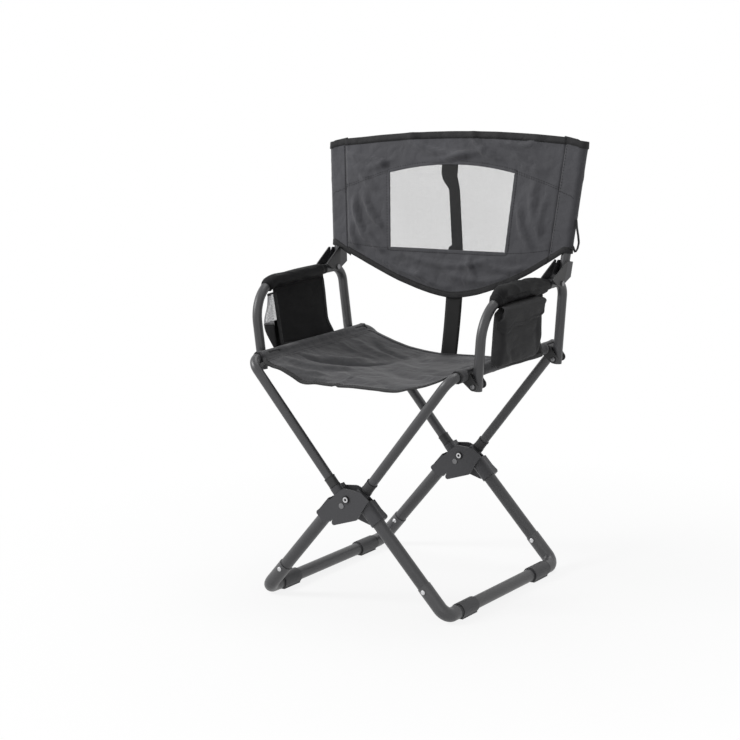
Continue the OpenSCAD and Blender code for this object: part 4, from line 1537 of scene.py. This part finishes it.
            sewing.run([p + up * 4.0 for p in path], -out, 1.1)
        sewing.piece("back_stitches", motion)


# ---- arms -----------------------------------------------------------------------------------


@dataclass
class ArmRest:
    """One arm's soft parts: a padded sleeve, the panel under it, and its pocket."""

    side: Side
    sleeve_r: float = 12.4
    sleeve_from: float = 62.0
    sleeve_end: float = 99.0
    cuff: float = 11.0
    panel_front: float = -88.5
    panel_rear: float = 105.5
    taper: float = 14.0
    panel_top: float = 147.0
    panel_low: float = 22.0
    cloth: float = 1.4
    puff_most: float = 11.0
    puff_fall: float = 0.117
    puff_end: float = 235.7
    puff_gone: float = 2.2
    longer_left: float = 7.0
    longer_right: float = -6.0
    smoother: float = 0.45
    pucker: Ripple = Ripple(13.0, 3.0, 3.4)
    crumple: Ripple = Ripple(26.0, 7.0, 1.5)
    ridge: Ripple = Ripple(25.0, 1.0, 2.5)
    sway: Ripple = Ripple(48.0, 2.0, 1.3)
    skirt: float = 2.3

    @property
    def motion(self) -> Motion:
        """The arm's own body."""
        return Motion(f"arm_{self.side.word}")

    def at(self, x: float, y: float, z: float) -> Vector:
        """A place in the plane of this arm."""
        return LAYOUT.arm(self.side, x, y, z)

    def name(self, word: str) -> str:
        """A piece's name on this side."""
        return f"{word}_{self.side.word}"

    @property
    def ways(self) -> tuple[Vector, Vector, Vector]:
        """The directions out of, up and back along this arm."""
        return LAYOUT.arm_way(self.side, 1, 0, 0), LAYOUT.arm_way(self.side, 0, 0, 1), Vector((0, 1, 0))

    def build(self) -> None:
        """Makes the soft parts of the arm."""
        self.sleeve()
        self.panel()
        if self.side is Side.LEFT:
            NetPocket(self).build()
        else:
            CargoPocket(self).build()

    def sleeve_path(self) -> list[tuple[float, float]]:
        """Lays the middle line of the sleeve.

        Returns:
            Its places back and up.
        """
        bend_y, bend_z = LAYOUT.post_front + LAYOUT.arm_bend_r, LAYOUT.arm_rise - LAYOUT.arm_bend_r
        path = []
        for angle in spread(self.sleeve_from, 90, 14):
            a = math.radians(180 - angle)
            path.append((bend_y + LAYOUT.arm_bend_r * math.cos(a), bend_z + LAYOUT.arm_bend_r * math.sin(a)))
        return path + [(y, LAYOUT.arm_rise) for y in spread(bend_y, self.sleeve_end, 64)[1:]]

    def sleeve_reach(self, angle: float, y: float, end: float) -> float:
        """How far the sleeve's skin stands off the tube's middle.

        Args:
            angle: the angle round the tube from its underside, in degrees.
            y: the place along the arm.
            end: the distance to the nearer end of the sleeve.

        Returns:
            The distance, in millimetres.
        """
        off = min(angle, 360 - angle)
        spot = (angle / 4.0, y * 0.34, self.side.value * 30.0)
        rough = 1.0 if self.side is Side.RIGHT else self.smoother
        pucker = rough * (abs(self.pucker.at(*spot)) + self.crumple.at(*spot) - 0.6)
        ridges = rough * math.sin(y / 7.0 + self.ridge.at(*spot)) * 0.8
        ridges *= math.exp(-(((off - 30) / 24.0) ** 2))
        skirt = self.skirt * math.exp(-((off / 15.0) ** 2))
        full = self.sleeve_r + 0.4 + (0.6 - pucker + ridges) * ease(end / 14.0) + skirt * ease(end / 10.0)
        up = -math.cos(math.radians(angle))
        full += self.puff(y) * max(0.0, up - 0.12) / 0.88 * ease(end / 26.0)
        mouth = LAYOUT.tube_r + 0.7 + 0.4 * max(0.0, math.sin(math.radians(angle) * 9))
        tight = self.cuff if y > 120 else 0.0
        return mouth + (full - mouth) * ease((end + 1.0 - tight) / 7.0)

    def puff(self, along: float) -> float:
        """Tells how much fuller the pad is on top: less near the hinge, where the folded back lies on it.

        Args:
            along: the length from the pad's front end.

        Returns:
            The extra height, in millimetres.
        """
        if self.side is Side.LEFT:
            return 0.0
        return max(0.0, min(self.puff_most, self.puff_fall * (self.puff_end - along) - self.puff_gone))

    def sleeve(self) -> None:
        """Makes the padded sleeve, gathered at its ends and drawn down to the panel's seam."""
        path = self.sleeve_path()
        rows = []
        count = len(path)
        lengths = [0.0]
        for a, b in zip(path, path[1:]):
            lengths.append(lengths[-1] + math.dist(a, b))
        for i, (y, z) in enumerate(path):
            ahead, behind = path[min(i + 1, count - 1)], path[max(i - 1, 0)]
            along = Vector((0, ahead[0] - behind[0], ahead[1] - behind[1])).normalized()
            lift = Vector((0, -along.z, along.y))
            end = min(lengths[i], lengths[-1] - lengths[i])
            row = []
            for angle in spread(0, 360, 52)[:-1]:
                a = math.radians(angle - 90)
                r = self.sleeve_reach(angle, lengths[i], end)
                x, h = r * math.cos(a), r * math.sin(a)
                row.append(self.at(x, y + lift.y * h, z + lift.z * h))
            rows.append(row)
        sleeve = Draft().sheet(rows, wrap=True).piece(self.name("arm_pad"), SLEEVE_CLOTH, smooth=1)
        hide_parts(self.name("arm_sleeve"))
        self.motion.attach(sleeve)
        sewing = Sewing()
        for k in (4, -5):
            ring = rows[k] + rows[k][:1]
            mid = sum(rows[k], Vector()) / len(rows[k])
            for a, b in zip(ring, ring[1:]):
                sewing.run([a, b], (a - mid).normalized(), 0.1)
        sewing.piece(self.name("arm_pad_stitches"), self.motion)

    def outline(self, u: float, v: float) -> tuple[float, float]:
        """Finds a place on the panel.

        Args:
            u: the share back along it.
            v: the share up it.

        Returns:
            The place back and up.
        """
        longer = self.longer_left if self.side is Side.LEFT else self.longer_right
        low_front, low_rear = self.panel_front + self.taper, self.panel_rear + longer
        top_front, top_rear = self.panel_front + 8.0, self.sleeve_end - self.cuff - 1.0 + longer
        flare = (low_rear - top_rear) * ease((0.34 - v) / 0.34)
        y = (low_front + (top_front - low_front) * v) * (1 - u) + (top_rear + flare) * u
        low = self.panel_low - self.taper / 2 * u - 2.0 * math.sin(math.pi * u)
        top = self.panel_top - 7.0 * math.exp(-u * 22)
        return y, low + (top - low) * v

    def panel_point(self, u: float, v: float) -> Vector:
        """Finds a point of the panel's middle surface, with its hanging folds.

        Args:
            u: the share back along it.
            v: the share up it.

        Returns:
            The point, in millimetres.
        """
        y, z = self.outline(u, v)
        free = 1 - v
        x = 0.7 * math.sin(u * 15.0 + self.side.value) * free
        x += self.sway.at(y, z, self.side.value * 40.0) * min(1.0, 2.5 * free)
        return self.at(min(x, 0.7), y, z)

    def panel(self) -> None:
        """Makes the cloth that hangs from the sleeve."""
        rows = [[self.panel_point(u, v) for u in spread(0, 1, 48)] for v in spread(0, 1, 32)]
        panel = Draft().sheet(rows).piece(self.name("arm_cloth"), PANEL_CLOTH, thick=self.cloth)
        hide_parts(self.name("arm_panel"))
        self.name("arm_pad")
        self.motion.attach(panel)
        out, up, back = self.ways
        sewing = Sewing()
        front, rear = [row[0] for row in rows[:-2]], [row[-1] for row in rows[:-2]]
        for name, path, into in (("low", rows[0], up), ("front", front, back), ("rear", rear, -back)):
            draft = tape(path, into, out, 8.0, 1.0, 0.7)
            self.motion.attach(draft.piece(f"{self.name('arm_cloth_binding')}_{name}", BINDING))
            sewing.run([p + into * 6.0 for p in path], -out, 1.5)
        sewing.piece(self.name("arm_cloth_stitches"), self.motion)


@dataclass
class NetPocket:
    """The left arm's open pocket: a cloth foot, a net above it and an elastic mouth."""

    arm: ArmRest
    low: float = 23.0
    high: float = 131.0
    thick: float = 37.0
    belly: float = 0.4
    top_share: float = 0.38
    low_share: float = 0.36
    foot: float = 0.42
    corner: float = 18.0
    pitch: float = 3.0
    thread: float = 0.3
    sway: Ripple = Ripple(30.0, 7.0, 1.3)

    @property
    def ends(self) -> tuple[float, float]:
        """Where the pocket starts and stops along the arm."""
        return self.arm.panel_front + 1, self.arm.panel_rear - self.arm.taper - 1

    def depth(self, v: float) -> float:
        """Tells how far the pocket stands off the panel.

        Args:
            v: the share of its height.

        Returns:
            The distance, in millimetres.
        """
        if v < self.belly:
            rise = math.sin(v / self.belly * math.pi / 2)
            return self.thick * (self.low_share + (1 - self.low_share) * rise)
        return self.thick * (1 - (1 - self.top_share) * ease((v - self.belly) / (1 - self.belly)))

    def point(self, t: float, v: float) -> Vector:
        """Finds a point of the pocket.

        Args:
            t: the share round its three sides, from the front.
            v: the share of its height.

        Returns:
            The point, in millimetres.
        """
        front, rear = self.ends
        depth, length = self.depth(v), rear - front
        s = t * (2 * depth + length)
        if s < depth:
            x, y = s, front
        elif s < depth + length:
            x, y = depth, front + s - depth
        else:
            x, y = depth - (s - depth - length), rear
        soft = min(1.0, min(y - front, rear - y) / self.corner)
        x = min(x, depth * (0.62 + 0.38 * math.sin(soft * math.pi / 2)))
        wave = self.sway.at(y, v * 110.0) * soft
        x = 1.6 + max(0.0, x - 0.6 + wave * min(1.0, x / 8.0))
        return self.arm.at(x, y, self.low + (self.high - self.low) * v)

    def build(self) -> None:
        """Makes the foot, the net and the two tapes."""
        motion, (out, up, back) = self.arm.motion, self.arm.ways
        front, rear = self.ends
        rows = [[self.point(t, v * self.foot) for t in spread(0, 1, 72)] for v in spread(0, 1, 14)]
        base = Draft().sheet(rows)
        base.sheet([rows[0], [self.arm.at(1.7, p.y, self.low) for p in rows[0]]])
        motion.attach(base.piece("net_pocket_foot", PANEL_CLOTH, thick=1.0))
        draft = Draft()
        across, upward = 76, 22
        lattice = [[self.point(t, self.foot + (1 - self.foot) * v) for t in spread(0, 1, across)]
                   for v in spread(0, 1, upward)]
        section = [(x * self.thread, y * self.thread) for x, y in SQUARE]
        slant = Vector((1, 0.31, 0.17))
        for j in range(across + 1):
            draft.tube([row[j] for row in lattice[::2]], lambda i: section, slant, closed=False)
        for row in lattice:
            draft.tube(row[::2], lambda i: section, slant, closed=False)
        net = draft.piece("net_pocket_net", NET_THREAD)
        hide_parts("net_pocket_left")
        motion.attach(net)
        centre = self.arm.at(0, (front + rear) / 2, self.high)
        for name, v, into, width, wrap, thick in (
            ("elastic", 1.0, -up, 3.0, 0.7, 0.7), ("seam", self.foot, up, 3.0, 0.6, 0.6),
        ):
            line = [self.point(t, v) for t in spread(0, 1, 72)]
            draft = tape(line, into, [(p - centre).normalized() for p in line], width, wrap, thick)
            motion.attach(draft.piece(f"net_pocket_{name}", PANEL_CLOTH))


@dataclass
class CargoPocket:
    """The right arm's soft pocket with a deep flap."""

    arm: ArmRest
    front: float = -104.9
    rear: float = 46.0
    top: float = 142.6
    tall: float = 114.8
    thick: float = 25.0
    run: float = 27.4
    drop: float = 12.2
    radius: float = 9.0
    flap_out: float = 28.4
    flap_low: float = 35.0
    flap_in: float = 14.3
    flap_up: float = 1.7
    flap_bend: float = 6.4
    flap_fore: float = 12.0
    flap_back: float = 8.0
    sway: Ripple = Ripple(34.0, 9.0, 1.6)
    crumple: Ripple = Ripple(20.0, 3.0, 1.4)
    roll: Ripple = Ripple(45.0, 5.0, 1.2)
    creases: tuple[Fold, ...] = (
        Fold((-96, 74), (-74, 40), 8, 2.2), Fold((-70, 62), (-48, 32), 7, -2.0),
        Fold((-40, 50), (-22, 30), 6, 1.6), Fold((22, 92), (40, 34), 8, -2.6),
        Fold((34, 100), (46, 60), 6, 2.0), Fold((-20, 84), (10, 66), 12, 1.2),
        Fold((-88, 96), (-60, 88), 8, 1.4), Fold((-64, 44), (-20, 36), 7, -1.8),
    )

    def ring(self, z: float, inset: float) -> list[Vector]:
        """Outlines the pocket at one height, as a soft rounded box.

        Args:
            z: the height.
            inset: how far the outline is drawn in.

        Returns:
            The outline's points, in millimetres.
        """
        share = (z - (self.top - self.tall)) / self.tall
        cut = max(0.0, z - (self.top - self.drop)) / self.drop * self.run
        x0 = 1.9 + inset * 0.3
        x1 = 1.9 + self.thick * (0.86 + 0.12 * math.sin(math.pi * min(1.0, share * 1.25))) - inset
        y0, y1 = self.front + inset + cut, self.rear - inset * 0.8
        points = []
        for cx, cy, start in ((x1, y0, -90), (x1, y1, 0), (x0, y1, 90), (x0, y0, 180)):
            r = self.radius if start in (-90, 0) else 2.5
            ox = cx - r if start in (-90, 0) else cx + r
            oy = cy + r if cy == y0 else cy - r
            for a in spread(start, start + 90, 6):
                points.append((ox + r * math.cos(math.radians(a)), oy + r * math.sin(math.radians(a))))
        made = []
        for a, b in zip(points, points[1:] + points[:1]):
            steps = max(1, round(math.dist(a, b) / (4.5 if a[0] > 10 else 12.0)))
            for k in range(steps):
                x, y = a[0] + (b[0] - a[0]) * k / steps, a[1] + (b[1] - a[1]) * k / steps
                if x > 12:
                    x += min(0.5, self.sway.at(y * 0.6, z) - 0.5)
                    lift = sum(fold.lift(y, z) for fold in self.creases)
                    x += (0.7 * lift if lift > 0 else lift) * ease((x - 12) / 8.0)
                made.append(self.arm.at(max(x, 1.9), y, z))
        return made

    def build(self) -> None:
        """Makes the pocket's body, its fixed top strip and its flap."""
        foot = self.top - self.tall
        levels = [(foot + 0.8, 11.0), (foot + 1.6, 7.0), (foot + 3.4, 3.6), (foot + 6.4, 1.4),
                  (foot + 10, 0.3)]
        levels += [(z, 0.0) for z in spread(foot + 14, self.top, 30)]
        rows = self.even([self.ring(z, inset) for z, inset in levels])
        draft = Draft().sheet(rows, wrap=True)
        draft.faces.append(tuple(range(len(rows[0]))))
        pocket = draft.piece("cargo_pocket", POCKET_CLOTH, thick=1.2)
        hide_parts("side_pocket_right")
        self.arm.motion.attach(pocket)
        strip = [[self.arm.at(x, y, self.top + 0.1 - 0.4 * (x > 10))
                  for y in spread(self.front + self.run + 1.5, self.rear - 1.5, 20)]
                 for x in spread(2.2, 13.4, 5)]
        self.arm.motion.attach(Draft().sheet(strip).piece("pocket_top_strip", POCKET_CLOTH, thick=1.0))
        self.flap()

    def even(self, rings: Sequence[Sequence[Vector]]) -> list[list[Vector]]:
        """Gives every outline the same count of points, at even steps from its first.

        Args:
            rings: the outlines.

        Returns:
            The new outlines.
        """
        count = max(len(ring) for ring in rings)
        made = []
        for ring in rings:
            closed = list(ring) + [ring[0]]
            made.append(resample(closed, path_length(closed) / count)[:-1])
        return made

    def flap_point(self, u: float, s: float) -> Vector:
        """Finds a point of the flap, which grows longer towards its hem.

        Args:
            u: the share back along it.
            s: the share from its hinge over the pocket's edge and down.

        Returns:
            The point, in millimetres.
        """
        start = self.front - self.flap_fore + 15.0 * (1 - ease(s * 2.2))
        stop = self.rear - self.flap_back + 10.0 * ease(s * 1.8)
        over = self.flap_out - self.flap_in
        bulge, rise = math.exp(-(((u - 0.06) / 0.14) ** 2)), ease((u - 0.55) / 0.2)
        hem = 12.0 * bulge - 4.0 * rise + 1.6 * math.sin(u * 17.0)
        corner = math.exp(-u * 12) + math.exp(-(1 - u) * 12)
        down = s * (over + self.flap_low + hem - 9.0 * corner * s)
        y = start + (stop - start) * u
        if down < over - 6:
            x, z = self.flap_in + down, self.top + self.flap_up
        elif down < over + 4:
            a = (down - over + 6) / 10 * math.pi / 2
            x = self.flap_out - 6 + self.flap_bend * math.sin(a)
            z = self.top + self.flap_up - self.flap_bend * (1 - math.cos(a))
        else:
            x, z = self.flap_out + 0.4, self.top - 4.7 - (down - over - 4)
        hang = ease((down - over) / 20.0)
        belly = 2.6 * math.sin(math.pi * min(1.0, s * 0.9)) * (1 - (2 * u - 1) ** 4)
        crumple = abs(self.crumple.at(y * 0.5, z)) + self.roll.at(y, z)
        x += hang * (belly + crumple)
        x -= 10.0 * math.exp(-(((y - start) / 7.0) ** 2)) * ease((130.0 - z) / 14.0)
        x -= 7.0 * max(0.0, u - 0.955) / 0.045 * hang
        return self.arm.at(x, y, z)

    def flap(self) -> None:
        """Makes the flap that lies over the pocket's mouth and hangs down its face."""
        motion = Motion("pocket_flap")
        columns = spread(0, 0.1, 14) + spread(0.1, 1, 50)[1:]
        grid = [[self.flap_point(u, s) for u in columns] for s in spread(0, 1, 34)]
        flap = Draft().sheet(grid).piece("pocket_flap_cloth", POCKET_CLOTH, thick=1.1)
        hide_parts("pocket_flap_right")
        motion.attach(flap)
        out, up, back = self.arm.ways
        sewing = Sewing()
        for name, path, into in (("low", grid[-1], up), ("front", [row[0] for row in grid[10:]], back)):
            draft = tape(path, into, out, 4.0, 0.7, 0.6)
            motion.attach(draft.piece(f"pocket_flap_hem_{name}", POCKET_CLOTH))
        sewing.run(grid[-5][:-3], out, 0.8)
        sewing.piece("pocket_flap_stitches", motion)


# ---- studio ---------------------------------------------------------------------------------


@dataclass
class Studio:
    """The pale floor, the soft lights and the camera."""

    azimuth: float = math.radians(33.26)
    elevation: float = math.radians(10.71)
    distance: float = 4.2006
    roll: float = math.radians(-1.46)
    target: tuple[float, float, float] = (0.0, -0.0065, 0.450)
    focal: float = 2128.19
    centre: tuple[float, float] = (405.12, 363.08)
    frame_size: float = 740.0
    sensor: float = 36.0
    floor_half: float = 40.0
    shadow_in: float = 0.35
    shadow_out: float = 1.1
    sky: float = 0.3

    def camera(self) -> None:
        """Puts the camera where it looks at the chair from its front right."""
        data = bpy.data.cameras.new("camera")
        made = bpy.data.objects.new("camera", data)
        bpy.context.scene.collection.objects.link(made)
        az, el = self.azimuth, self.elevation
        back = Vector((math.sin(az) * math.cos(el), -math.cos(az) * math.cos(el), math.sin(el)))
        made.location = Vector(self.target) + back * self.distance
        turn = (-back).to_track_quat("-Z", "Y").to_matrix() @ Matrix.Rotation(self.roll, 3, "Z")
        made.rotation_euler = turn.to_euler()
        data.sensor_width = self.sensor
        data.lens = self.focal / self.frame_size * self.sensor
        data.shift_x = (self.frame_size / 2 - self.centre[0]) / self.frame_size
        data.shift_y = (self.centre[1] - self.frame_size / 2) / self.frame_size
        data.clip_start, data.clip_end = 0.1, 60.0
        bpy.context.scene.camera = made
        log.info("camera is placed")

    def floor(self) -> None:
        """Lays the pale floor, which shows white away from the chair and keeps the chair's soft shadow."""
        mesh = bpy.data.meshes.new("floor")
        corners = [(x * self.floor_half, y * self.floor_half, 0) for x, y in SQUARE]
        mesh.from_pydata(corners, [], [(0, 1, 2, 3)])
        made = bpy.data.objects.new("floor", mesh)
        bpy.context.scene.collection.objects.link(made)
        tree = MaterialTree("floor_paper")
        tree.wear(Base_Color=(*grey(0.93), 1), Roughness=0.9, Specular_IOR_Level=0.1)
        seen = tree.either(tree.add("LightPath"), "Glossy", "Transmission", "Camera")
        distance = tree.vector("LENGTH", tree.add("TexCoord").outputs["Object"])
        away = tree.add("MapRange", From_Min=self.shadow_in, From_Max=self.shadow_out, To_Min=0.86,
                        To_Max=1.0)
        tree.join(distance, away.inputs["Value"])
        white = tree.add("Emission", Strength=1.0)
        fade = tree.sum("MULTIPLY", seen, away.outputs["Result"])
        shown = tree.mix(fade, tree.shader.outputs[0], white.outputs[0])
        tree.join(shown, tree.nodes["Material Output"].inputs["Surface"])
        mesh.materials.append(tree.material)

    def world(self) -> None:
        """Gives a soft even sky that shows white to the camera and in reflections."""
        world = bpy.data.worlds.new("studio")
        bpy.context.scene.world = world
        world.use_nodes = True
        tree = NodeTree(world.node_tree)
        tree.nodes.clear()
        shown = tree.either(tree.add("LightPath"), "Camera", "Transmission", "Glossy")
        soft, white = (tree.add("Background", Color=(1, 1, 1, 1), Strength=power)
                       for power in (self.sky, 1.0))
        both = tree.mix(shown, soft.outputs[0], white.outputs[0])
        tree.join(both, tree.add("OutputWorld").inputs["Surface"])

    def lamp(self, name: str, place: tuple[float, float, float], size: float, power: float) -> None:
        """Hangs one soft lamp that looks at the chair.

        Args:
            name: its name.
            place: where it hangs, in metres.
            size: its side, in metres.
            power: its power, in watts.
        """
        data = bpy.data.lights.new(name, "AREA")
        data.size, data.energy = size, power
        made = bpy.data.objects.new(name, data)
        bpy.context.scene.collection.objects.link(made)
        made.location = place
        made.rotation_euler = (Vector(self.target) - Vector(place)).to_track_quat("-Z", "Y").to_euler()

    def build(self) -> None:
        """Sets up the whole studio."""
        bpy.context.scene.view_settings.view_transform = "Standard"
        self.camera()
        self.floor()
        self.world()
        self.lamp("key", (-2.3, -2.0, 2.3), 1.1, 80.0)
        self.lamp("fill", (2.4, -2.4, 1.2), 2.4, 12.0)
        self.lamp("top", (0.0, 0.9, 3.2), 1.6, 26.0)


def main() -> None:
    """Builds the chair's pieces in order."""
    logging.basicConfig(level=logging.INFO, format="%(message)s")
    Studio().build()
    HardParts().build()
    SeatSling().build()
    FoldingBack().build()
    for side in Side:
        ArmRest(side).build()


if __name__ == "__main__":
    main()
